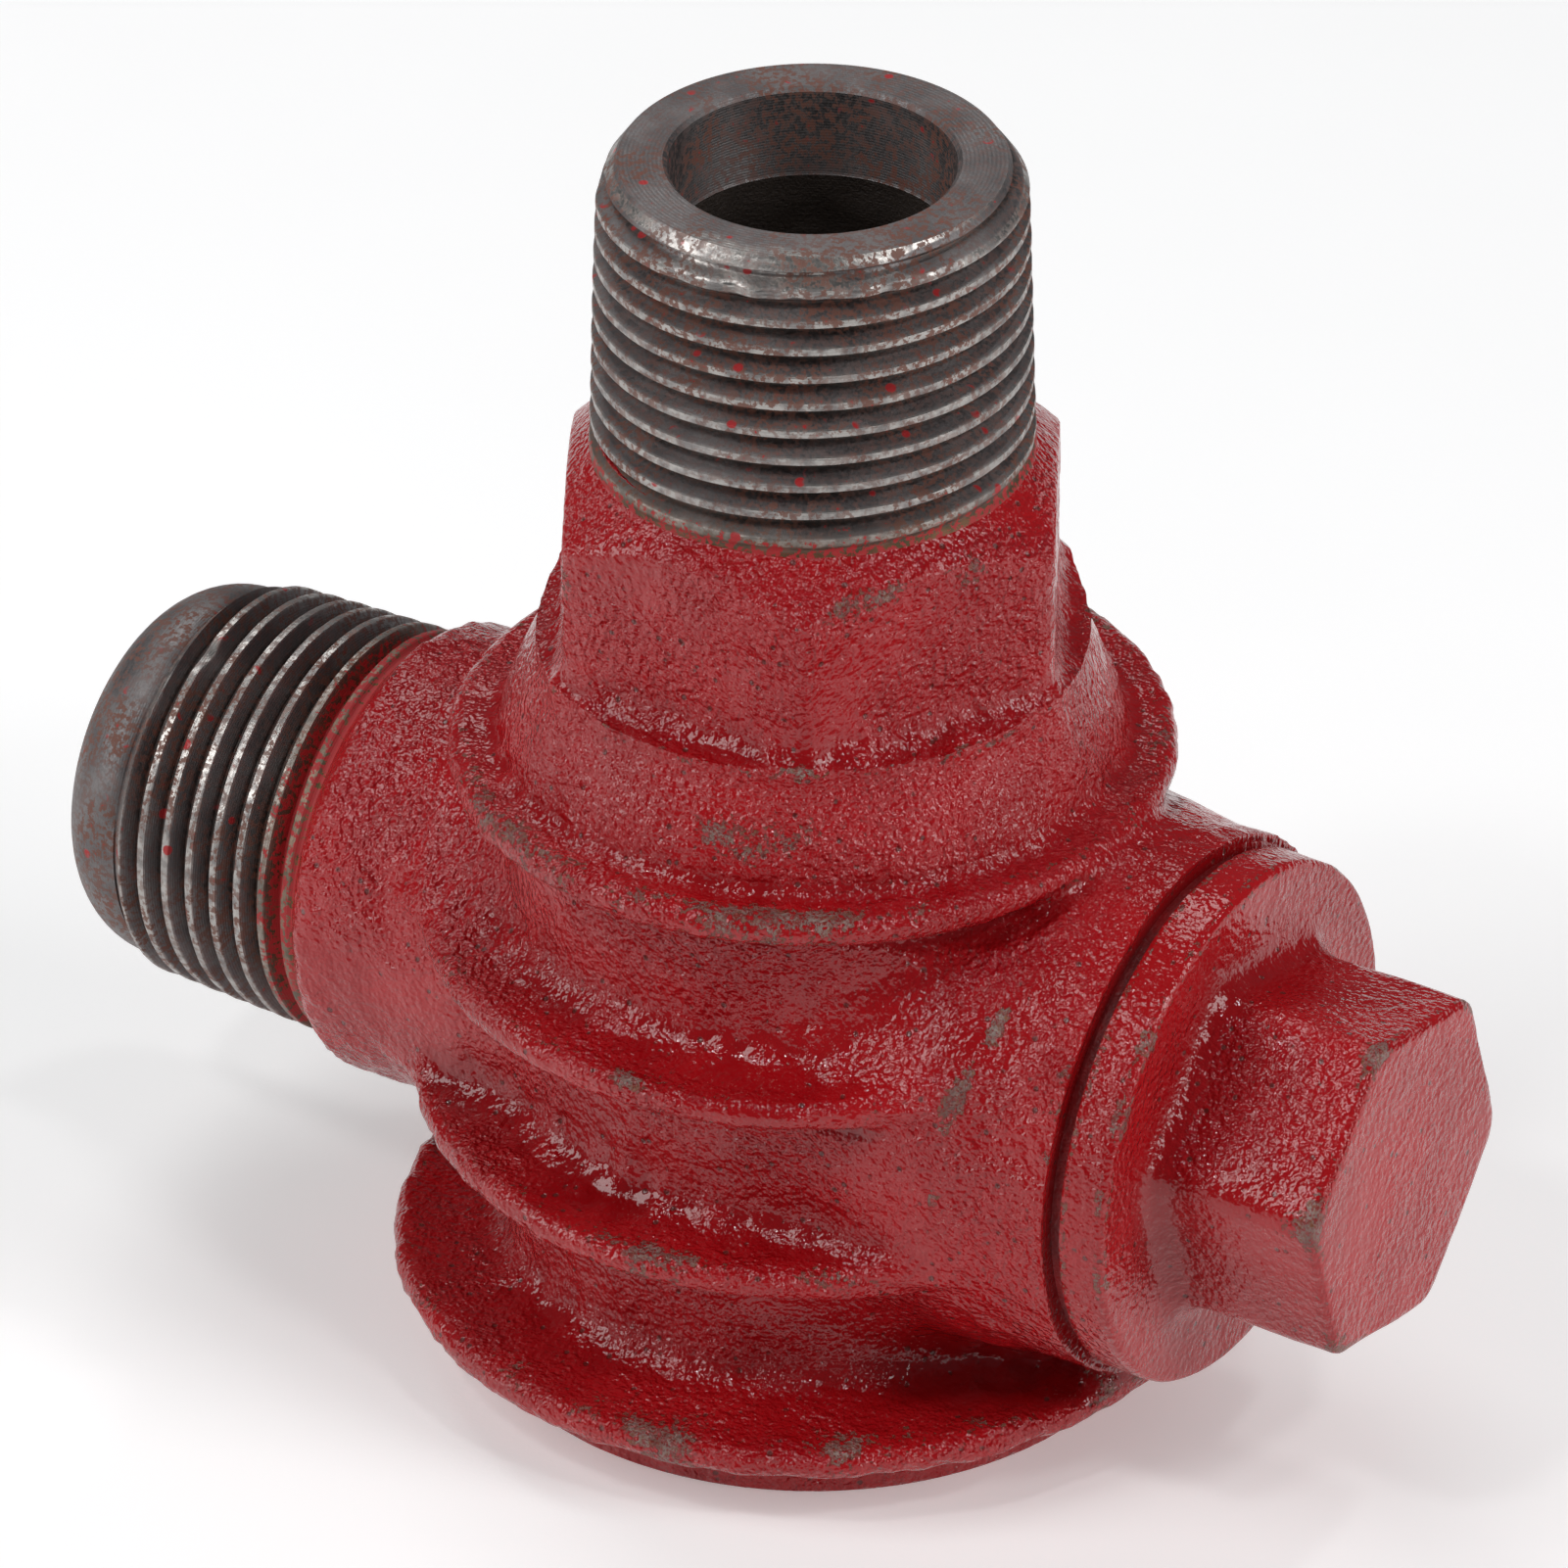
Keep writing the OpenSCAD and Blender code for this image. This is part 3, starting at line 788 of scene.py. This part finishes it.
# %% [markdown]
# The shank is another threaded piece, but its thread is parallel, so nothing tapers. It stays a tenth of
# a millimetre clear of the body's bore, and its hollow follows the design: a pocket for the spring, with
# the bored guide post standing in it. The post ends a hair short, since the lifted poppet stops against
# it.

# %% Plug shank
PLUG_PITCH = 2.0
PLUG_DEPTH = 0.6134 * PLUG_PITCH
shank_tip = -(gasket_high[0] - 20)
shank_foot = -(flange_x + 0.6)
pocket_r = 10.2
pocket_floor = shank_tip - 10.0
post_r = 6.5
post_play = 0.06
post_tip = -plug_low[0] - post_play
guide_bore_r = 4.05
guide_bore_end = 33.0


def plug_thread(angle, z, height):
    fade = smooth_step(z, shank_foot + 1.5, shank_foot + 4)
    radius = plug_thread_r - 0.02 - PLUG_DEPTH * (1 - height * fade)
    return np.minimum(radius, plug_thread_r - 1.3 + (shank_tip - z))


rings = [(pocket_r + 0.5, shank_tip), (pocket_r, shank_tip - 0.5)]
rings += [(pocket_r, pocket_floor), (post_r, pocket_floor)]
rings += [(post_r, post_tip - 0.5), (post_r - 0.5, post_tip)]
rings += [(guide_bore_r + 0.4, post_tip), (guide_bore_r, post_tip - 0.4)]
rings += [(guide_bore_r, -guide_bore_end), (0, -guide_bore_end), (0, shank_foot)]
points, faces, crest = threaded_piece(shank_foot, shank_tip, PLUG_PITCH, plug_thread, rings)
r = np.hypot(points[:, 0], points[:, 1])
turn = r + TURN_RISE * points[:, 2]
points = np.stack([-points[:, 2], points[:, 1], points[:, 0] + axis_h], 1)
shank_values = {"edge": crest, "turn": turn, "raw": 0 * r}
shank = make_object("plug_shank", points, faces, "plug", shank_values)
sharpen(shank, 40)
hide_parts("access_plug")
print("plug shank:", len(points), "vertices, from x", round(float(points[:, 0].min()), 2))

# %% [markdown]
# ## The spring
# A closed-end spring is coiled wire whose first and last turns lie against each other, so that it stands
# square. The height therefore climbs slowly, then fast, then slowly again. It is one tube swept along
# that curve. When the poppet lifts, the spring shortens towards the plug.

# %% Coil the spring
spring_low, spring_high = box_mm("valve_spring")
wire_r = 0.55
coil_r = (spring_high[2] - spring_low[2]) / 2 - wire_r
COILS = 9
SIDES = 12
count = COILS * 48 + 1
turn = np.linspace(0, COILS, count)
open_coils = smooth_step(turn, 0.7, 1.6) - smooth_step(turn, COILS - 1.6, COILS - 0.7)
rate = 2 * wire_r * 1.02 + open_coils * 4.0
climb = np.concatenate([[0], np.cumsum((rate[1:] + rate[:-1]) / 2)])
climb = climb / climb[-1] * (spring_high[0] - spring_low[0] - 2 * wire_r)
around = np.linspace(0, 2 * math.pi, SIDES, endpoint=False)
wire_x = spring_low[0] + wire_r + climb[:, None] + wire_r * np.sin(around)
wire_rho = coil_r + wire_r * np.cos(around)
points = np.stack([
    wire_x,
    wire_rho * np.cos(turn[:, None] * 2 * math.pi),
    wire_rho * np.sin(turn[:, None] * 2 * math.pi) + axis_h,
], -1).reshape(-1, 3)
ring = np.arange(SIDES)
faces = []
for i in range(count - 1):
    a, b = i * SIDES + ring, (i + 1) * SIDES + ring
    faces += np.stack([a, b, np.roll(b, -1), np.roll(a, -1)], 1).tolist()
faces += [ring.tolist(), ((count - 1) * SIDES + ring[::-1]).tolist()]
spring = make_object("coil_spring", points, faces, "plug")
sharpen(spring, 60)
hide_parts("valve_spring")
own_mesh(spring)

# %% [markdown]
# ## Materials
# Shader nodes are quick to draw but long to write. These few helpers each add one node and hand back its
# output, so a material reads like a sum. Coordinates are turned into millimetres, so a noise scale of 1
# is a grain of 1 mm, and a scale of 2 is a grain of half that.

# %% Shader helpers
class Look:
    def __init__(self, name):
        self.material = bpy.data.materials.new(name)
        self.material.use_nodes = True
        self.tree = self.material.node_tree
        self.shader = self.tree.nodes["Principled BSDF"]
        place = self.add("ShaderNodeTexCoord").outputs["Object"]
        self.mm = self.add("ShaderNodeVectorMath", {0: place, "Scale": 1000.0}, operation="SCALE").outputs[0]

    def add(self, kind, inputs=None, **settings):
        made = self.tree.nodes.new(kind)
        for key, value in settings.items():
            setattr(made, key, value)
        for key, value in (inputs or {}).items():
            if isinstance(value, bpy.types.NodeSocket):
                self.tree.links.new(value, made.inputs[key])
            else:
                made.inputs[key].default_value = value
        return made

    def noise(self, scale, detail=2.0, roughness=0.55):
        inputs = {"Vector": self.mm, "Scale": scale, "Detail": detail, "Roughness": roughness}
        return self.add("ShaderNodeTexNoise", inputs).outputs["Fac"]

    def spots(self, scale):
        inputs = {"Vector": self.mm, "Scale": scale, "Randomness": 1.0}
        return self.add("ShaderNodeTexVoronoi", inputs).outputs["Distance"]

    def math(self, operation, a, b=0.0):
        return self.add("ShaderNodeMath", {0: a, 1: b}, operation=operation).outputs[0]

    def step(self, value, low, high, out_low=0.0, out_high=1.0):
        inputs = {0: value, 1: low, 2: high, 3: out_low, 4: out_high}
        return self.add("ShaderNodeMapRange", inputs, interpolation_type="SMOOTHSTEP").outputs[0]

    def mix(self, share, a, b):
        a, b = ((*c, 1.0) if isinstance(c, tuple) else c for c in (a, b))
        return self.add("ShaderNodeMix", {0: share, 6: a, 7: b}, data_type="RGBA").outputs[2]

    def blend(self, share, a, b):
        return self.add("ShaderNodeMix", {0: share, 2: a, 3: b}, data_type="FLOAT").outputs[0]

    def value_of(self, name):
        return self.add("ShaderNodeAttribute", attribute_name=name).outputs["Fac"]

    def bump(self, height, depth_mm):
        inputs = {"Height": height, "Distance": depth_mm * MM, "Strength": 1.0}
        return self.add("ShaderNodeBump", inputs).outputs[0]

    def finish(self, **sockets):
        for key, value in sockets.items():
            name = key.replace("_", " ")
            if isinstance(value, bpy.types.NodeSocket):
                self.tree.links.new(value, self.shader.inputs[name])
            else:
                self.shader.inputs[name].default_value = (*value, 1.0) if isinstance(value, tuple) else value
        return self.material


print("shader helpers:", ", ".join(name for name in vars(Look) if name[0] != "_"))

# %% [markdown]
# ## Paint on cast iron
# The paint was dipped or sprayed thick, so it is glossy and a little uneven. It is worn through where the
# exposure is high, in patches, since noise is added before the threshold. Bare iron shows grey and olive
# with rust at the patch's rim. The chamber was never painted, and the faced boss is cut metal.

# %% Painted iron
PAINT = (0.31, 0.0035, 0.006)
FRESH_PAINT = (0.38, 0.006, 0.009)
# The next colour is painted shade: a darker red for the paint in hollows.
HOLLOW_SHADE_PAINT = (0.19, 0.0015, 0.003)
PIT = (0.075, 0.022, 0.018)
DUST = (0.55, 0.25, 0.22)
WORN_RIM = (0.13, 0.012, 0.008)
BROWN_IRON = (0.17, 0.105, 0.090)
GREY_IRON = (0.29, 0.245, 0.215)
RUSTY_IRON = (0.20, 0.075, 0.03)


def painted_iron(name, wear_low, wear_high, relief, has_inside):
    look = Look(name)
    edge, hollow = look.value_of("edge"), look.value_of("hollow")
    broad, middle, fine = look.noise(0.11), look.noise(0.55, 3.0), look.noise(2.2, 3.0, 0.6)
    paint = look.mix(look.step(broad, 0.3, 0.7), PAINT, FRESH_PAINT)
    # Painted shade: the paint is darkened in the hollows, standing in for the shade that falls there.
    paint = look.mix(look.step(hollow, 0.10, 0.5, 0.0, 0.75), paint, HOLLOW_SHADE_PAINT)
    speck = look.step(look.spots(0.75), 0.22, 0.12)
    speck = look.math("MULTIPLY", speck, look.step(middle, 0.47, 0.56))
    paint = look.mix(look.math("MULTIPLY", speck, 0.8), paint, PIT)
    dust = look.step(look.noise(3.1, 2.0, 0.7), 0.6, 0.72)
    dust = look.math("MULTIPLY", dust, look.step(look.noise(0.2), 0.45, 0.62))
    paint = look.mix(look.math("MULTIPLY", dust, 0.28), paint, DUST)
    ragged = look.math("ADD", look.math("MULTIPLY", look.math("SUBTRACT", middle, 0.5), 0.55),
                       look.math("MULTIPLY", look.math("SUBTRACT", fine, 0.5), 1.05))
    ragged = look.math("ADD", ragged, look.math("MULTIPLY", look.math("SUBTRACT", broad, 0.5), 0.55))
    exposed = look.math("SUBTRACT", look.math("ADD", edge, ragged), look.math("MULTIPLY", hollow, 0.5))
    broken = look.step(look.noise(3.6, 2.0, 0.6), 0.40, 0.58, 0.15, 0.85)
    worn = look.math("MULTIPLY", look.step(exposed, wear_low, wear_high), broken)
    rim = look.step(exposed, wear_low - 0.05, wear_low)
    iron = look.mix(look.step(middle, 0.35, 0.65), BROWN_IRON, GREY_IRON)
    iron = look.mix(look.step(fine, 0.5, 0.7), iron, RUSTY_IRON)
    color = look.mix(look.math("MULTIPLY", rim, 0.6), paint, WORN_RIM)
    color = look.mix(worn, color, iron)
    gloss = look.step(look.noise(0.9, 3.0), 0.3, 0.7, 0.06, 0.14)
    rough = look.blend(worn, gloss, 0.62)
    metal = look.math("MULTIPLY", worn, 0.55)
    if has_inside:
        raw, cut = look.value_of("raw"), look.value_of("machined")
        scale = look.mix(fine, (0.012, 0.011, 0.010), (0.035, 0.026, 0.020))
        steel = look.mix(fine, (0.30, 0.29, 0.27), (0.42, 0.40, 0.37))
        color = look.mix(look.step(raw, 0.4, 0.6), color, scale)
        color = look.mix(look.step(cut, 0.4, 0.6), color, steel)
        rough = look.blend(look.step(raw, 0.4, 0.6), rough, 0.75)
        rough = look.blend(look.step(cut, 0.4, 0.6), rough, 0.38)
        metal = look.blend(look.step(cut, 0.4, 0.6), metal, 1.0)
    grain = look.math("ADD", look.math("MULTIPLY", look.noise(1.5, 1.5, 0.45), 0.85),
                      look.math("MULTIPLY", look.noise(3.0, 1.0), 0.18))
    grain = look.math("MULTIPLY", grain, look.step(look.noise(0.09, 2.0), 0.3, 0.7, 0.4, 1.3))
    grain = look.math("MULTIPLY", grain, look.step(hollow, 0.10, 0.40, 1.0, 0.3))
    sunk = look.math("ADD", look.math("MULTIPLY", worn, 0.15), look.math("MULTIPLY", speck, 0.12))
    height = look.math("SUBTRACT", grain, sunk)
    return look.finish(Base_Color=color, Roughness=rough, Metallic=metal, Normal=look.bump(height, relief))


casting.data.materials.append(painted_iron("painted_cast_iron", 0.56, 0.64, 0.60, True))
head.data.materials.append(painted_iron("painted_forged_plug", 0.56, 0.64, 0.34, False))
print("paint made")

# %% [markdown]
# ## Turned metal
# A lathe leaves one fine groove for each turn of the work. The meshes carry a number that grows along
# their profile, so a wave of it is a set of rings on any wall, cone or face. Crests are lighter, partly
# polished by use and partly a painted highlight. Roots are darkened as painted shade, and keep rust and
# overspray from the paint shop.

# %% Machined iron
ROOT_SHADE_COLOR = (0.050, 0.037, 0.030)
POLISHED_HIGHLIGHT_COLOR = (0.39, 0.37, 0.35)
RUST = (0.155, 0.052, 0.030)
OVERSPRAY = (0.36, 0.010, 0.012)
LATHE_FEED = 0.32


def machined_iron(name, light, dark, painted):
    look = Look(name)
    crest, turn = look.value_of("edge"), look.value_of("turn")
    raw, root = look.value_of("raw"), look.value_of("root")
    broad, middle, fine = look.noise(0.2), look.noise(0.8, 3.0), look.noise(3.5, 3.0, 0.65)
    metal_color = look.mix(look.step(broad, 0.35, 0.65), dark, light)
    uneven = look.math("MULTIPLY", look.math("SUBTRACT", fine, 0.5), 0.5)
    # Painted shade: the thread's roots are darkened, standing in for the shade in its grooves.
    groove_shade = look.step(look.math("ADD", crest, uneven), 0.38, 0.02)
    metal_color = look.mix(look.math("MULTIPLY", groove_shade, 0.75), metal_color, ROOT_SHADE_COLOR)
    # Lighter crests: partly polish from use, partly a painted highlight along every crest.
    polish_highlight = look.math("MULTIPLY", look.step(crest, 0.86, 0.98), look.step(middle, 0.35, 0.6, 0.3, 1.0))
    metal_color = look.mix(polish_highlight, metal_color, POLISHED_HIGHLIGHT_COLOR)
    flakes = look.noise(1.9, 4.0, 0.65)
    damp = look.step(look.noise(0.16), 0.36, 0.60, 0.3, 1.0)
    rust = look.math("MULTIPLY", look.step(flakes, 0.48, 0.54), damp)
    metal_color = look.mix(look.math("MULTIPLY", rust, 0.85), metal_color, RUST)
    rough = look.step(fine, 0.3, 0.7, 0.46, 0.64)
    rough = look.blend(polish_highlight, rough, 0.32)
    rough = look.blend(rust, rough, 0.7)
    metallic = look.math("SUBTRACT", 1.0, look.math("MULTIPLY", rust, 0.8))
    if painted:
        olive = look.mix(look.step(middle, 0.4, 0.6), (0.10, 0.075, 0.035), (0.19, 0.10, 0.05))
        spatter = look.step(look.math("ADD", flakes, look.math("MULTIPLY", root, 0.22)), 0.68, 0.71)
        metal_color = look.mix(look.math("MULTIPLY", root, 0.8), metal_color, olive)
        sprayed = look.step(look.noise(0.3, 2.0), 0.52, 0.58)
        fleck = look.math("MULTIPLY", look.step(look.spots(0.42), 0.20, 0.15), sprayed)
        spatter = look.math("MAXIMUM", spatter, fleck)
        metal_color = look.mix(spatter, metal_color, OVERSPRAY)
        scale = look.mix(fine, (0.012, 0.010, 0.009), (0.045, 0.028, 0.018))
        metal_color = look.mix(raw, metal_color, scale)
        rough = look.blend(look.math("MAXIMUM", raw, look.math("MULTIPLY", root, 0.8)), rough, 0.62)
        bare = look.math("SUBTRACT", 1.0, look.math("MAXIMUM", raw, spatter))
        metallic = look.math("MULTIPLY", metallic, bare)
    rings = look.math("SINE", look.math("MULTIPLY", turn, 2 * math.pi / LATHE_FEED))
    smear = look.noise(0.5, 2.0, 0.6)
    height = look.math("ADD", look.math("MULTIPLY", rings, look.math("MULTIPLY", smear, 0.06)),
                       look.math("MULTIPLY", fine, look.blend(raw, 0.25, 1.6)))
    normal = look.bump(height, 0.12)
    return look.finish(Base_Color=metal_color, Roughness=rough, Metallic=metallic, Normal=normal)


thread_look = machined_iron("machined_iron_thread", (0.225, 0.208, 0.206), (0.155, 0.142, 0.142), True)
shank_look = machined_iron("machined_plug_shank", (0.50, 0.47, 0.42), (0.36, 0.33, 0.29), False)
outlet.data.materials.append(thread_look)
inlet.data.materials.append(thread_look)
shank.data.materials.append(shank_look)
print("turned metal made")

# %% [markdown]
# ## The small pieces
# The seat ring and the poppet are turned brass, the seal is a moulded plastic disc, and the gasket is
# pressed fibre whose edge was painted over. One recipe serves all of them: a colour that drifts, a
# roughness that drifts with it, and rings or grain in relief.

# %% A plain look with some drift
def plain_look(name, color_a, color_b, metallic, rough_low, rough_high, grain, relief, rings=0.0):
    look = Look(name)
    drift, fine = look.noise(0.3, 3.0), look.noise(grain, 3.0, 0.6)
    color = look.mix(look.step(drift, 0.3, 0.7), color_a, color_b)
    stain = look.math("MULTIPLY", look.step(fine, 0.58, 0.72), look.step(drift, 0.4, 0.7, 0.1, 0.5))
    color = look.mix(stain, color, tuple(0.35 * c for c in color_a))
    rough = look.step(fine, 0.3, 0.7, rough_low, rough_high)
    height = fine
    if rings:
        split = look.add("ShaderNodeSeparateXYZ", {0: look.mm}).outputs
        side = look.math("POWER", split[1], 2.0)
        upward = look.math("POWER", look.math("SUBTRACT", split[2], float(axis_h)), 2.0)
        across = look.math("POWER", look.math("ADD", side, upward), 0.5)
        wave = look.math("SINE", look.math("MULTIPLY", look.math("ADD", across, split[0]), 2 * math.pi / rings))
        height = look.math("ADD", look.math("MULTIPLY", fine, 0.5), look.math("MULTIPLY", wave, 0.4))
    return look.finish(Base_Color=color, Roughness=rough, Metallic=metallic, Normal=look.bump(height, relief))


print("one recipe for the small pieces made")

# %% [markdown]
# Each small piece takes a bright and a dull colour. The design's own meshes keep their shape and only
# change material, while the coiled spring is a mesh of its own. Plating and drawn wire are greyer than
# turned brass.

# %% Brass, plastic, fibre, plated steel and wire
BRASS, DULL_BRASS = (0.66, 0.44, 0.17), (0.52, 0.33, 0.12)
RING_BRASS, DULL_RING = (0.62, 0.40, 0.14), (0.50, 0.30, 0.10)
PLASTIC, STAINED_PLASTIC = (0.72, 0.70, 0.64), (0.62, 0.59, 0.52)
PLATED, DULL_PLATED = (0.55, 0.54, 0.50), (0.42, 0.41, 0.38)
FIBRE_PAINT, FIBRE_SHADE = (0.34, 0.007, 0.009), (0.17, 0.006, 0.007)
WIRE, DULL_WIRE = (0.42, 0.41, 0.39), (0.30, 0.29, 0.28)
looks = {
    "seat_ring": plain_look("turned_brass_seat", RING_BRASS, DULL_RING, 1.0, 0.22, 0.36, 2.5, 0.03, 0.3),
    "valve_poppet": plain_look("turned_brass_poppet", BRASS, DULL_BRASS, 1.0, 0.20, 0.34, 2.5, 0.03, 0.3),
    "seal_disc": plain_look("moulded_seal_plastic", PLASTIC, STAINED_PLASTIC, 0.0, 0.40, 0.55, 1.6, 0.04),
    "seal_washer": plain_look("plated_washer", PLATED, DULL_PLATED, 1.0, 0.28, 0.42, 3.0, 0.03, 0.25),
    "seal_screw": plain_look("plated_screw", PLATED, DULL_PLATED, 1.0, 0.28, 0.42, 3.0, 0.03),
    "plug_gasket": plain_look("painted_fibre", FIBRE_PAINT, FIBRE_SHADE, 0.0, 0.3, 0.5, 2.5, 0.15),
}
for node, look in looks.items():
    for place in frame["nodes"][node].material_slots:
        place.material = look
wire_look = plain_look("drawn_spring_wire", WIRE, DULL_WIRE, 1.0, 0.25, 0.4, 3.5, 0.03)
spring.data.materials.append(wire_look)
print("small pieces:", ", ".join(looks))

# %% [markdown]
# ## Stage, light and camera
# The part stands on a seamless pale table, much wider than the part, that throws light back up under the
# ribs. A little light of its own keeps the table pale right out to its rim.

# %% Table
table_look = Look("pale_table")
table_tone = table_look.mix(table_look.noise(0.02, 3.0), (0.86, 0.86, 0.86), (0.90, 0.90, 0.90))
table_bump = table_look.bump(table_look.noise(2.0), 0.01)
TABLE_GLOW = 0.26
table_material = table_look.finish(
    Base_Color=table_tone,
    Roughness=0.55,
    Normal=table_bump,
    Emission_Color=(1.0, 1.0, 1.0),
    Emission_Strength=TABLE_GLOW,
)
RIM = 2.5
table_mesh = bpy.data.meshes.new("studio_table")
table_mesh.from_pydata([(-RIM, -RIM, 0), (RIM, -RIM, 0), (RIM, RIM, 0), (-RIM, RIM, 0)], [], [(0, 1, 2, 3)])
table_mesh.materials.append(table_material)
studio_table = bpy.data.objects.new("studio_table", table_mesh)
bpy.context.scene.collection.objects.link(studio_table)
print("table", 2 * RIM, "m wide")

# %% [markdown]
# Three large soft lamps, to the left, to the right and behind, model the forms and draw the long
# highlights down the barrel and the hexagon. Three small ones stand higher. They are so small that each
# lump of sand catches only a spark of them, and that is what makes the paint look wet. The sky only lifts
# the shadows.

# %% Lamps and sky
aim = Vector((0.0, 0.0, 0.045))


def softbox(name, azimuth, elevation, distance, width, height, watts):
    """A rectangular lamp that faces the part. Azimuth 0 is at -Y and grows towards +X."""
    lamp = bpy.data.lights.new(name, "AREA")
    lamp.shape = "RECTANGLE"
    lamp.size, lamp.size_y = width, height
    lamp.energy = watts
    a, e = math.radians(azimuth), math.radians(elevation)
    out = Vector((math.sin(a) * math.cos(e), -math.cos(a) * math.cos(e), math.sin(e)))
    piece = bpy.data.objects.new(name, lamp)
    bpy.context.scene.collection.objects.link(piece)
    piece.location = aim + out * distance
    piece.rotation_euler = (-out).to_track_quat("-Z", "Y").to_euler()


softbox("left_softbox", -45, 31, 0.8, 0.36, 0.6, 3.0)
softbox("right_softbox", 96, 26, 0.8, 0.3, 0.6, 3.0)
softbox("back_softbox", 235, 52, 1.0, 0.5, 0.5, 2.8)
softbox("left_glint", -14, 56, 0.8, 0.07, 0.07, 0.6)
softbox("right_glint", 74, 50, 0.8, 0.07, 0.07, 0.6)
softbox("back_glint", 160, 60, 0.8, 0.07, 0.07, 0.5)
world = bpy.data.worlds.new("studio_sky")
world.use_nodes = True
world.node_tree.nodes["Background"].inputs[0].default_value = (0.9, 0.93, 1.0, 1.0)
world.node_tree.nodes["Background"].inputs[1].default_value = 0.08
bpy.context.scene.world = world
bpy.context.scene.view_settings.view_transform = "Standard"

# %% [markdown]
# The camera looks down at the corner between the inlet and the plug, from a metre away through a long
# lens. From there the threads, the ribs and the hexagon all show, and distant parts hardly shrink. Two
# small shifts of its place centre the part in the frame.

# %% Camera
CAMERA_AZIMUTH = math.radians(32.09)
CAMERA_ELEVATION = math.radians(32.37)
CAMERA_ROLL = math.radians(-0.09)
CAMERA_DISTANCE = 1.0
SHIFT_LEFT = 0.002228
SHIFT_UP = 0.014878
a, e, roll = CAMERA_AZIMUTH, CAMERA_ELEVATION, CAMERA_ROLL
back = Vector((math.sin(a) * math.cos(e), -math.cos(a) * math.cos(e), math.sin(e)))
level = Vector((math.cos(a), math.sin(a), 0))
upright = back.cross(level)
right = level * math.cos(roll) + upright * math.sin(roll)
up = upright * math.cos(roll) - level * math.sin(roll)
lens = bpy.data.cameras.new("studio_camera")
lens.lens = 296.36
lens.sensor_width = 36
lens.clip_end = 20
camera = bpy.data.objects.new("studio_camera", lens)
bpy.context.scene.collection.objects.link(camera)
turned = Matrix((right, up, back)).transposed().to_4x4()
centre = Vector((0, 0, axis_h * MM))
turned.translation = centre + back * CAMERA_DISTANCE - right * SHIFT_LEFT + up * SHIFT_UP
camera.matrix_world = turned
bpy.context.scene.camera = camera
print("camera at", [round(v, 3) for v in camera.location])

# %% [markdown]
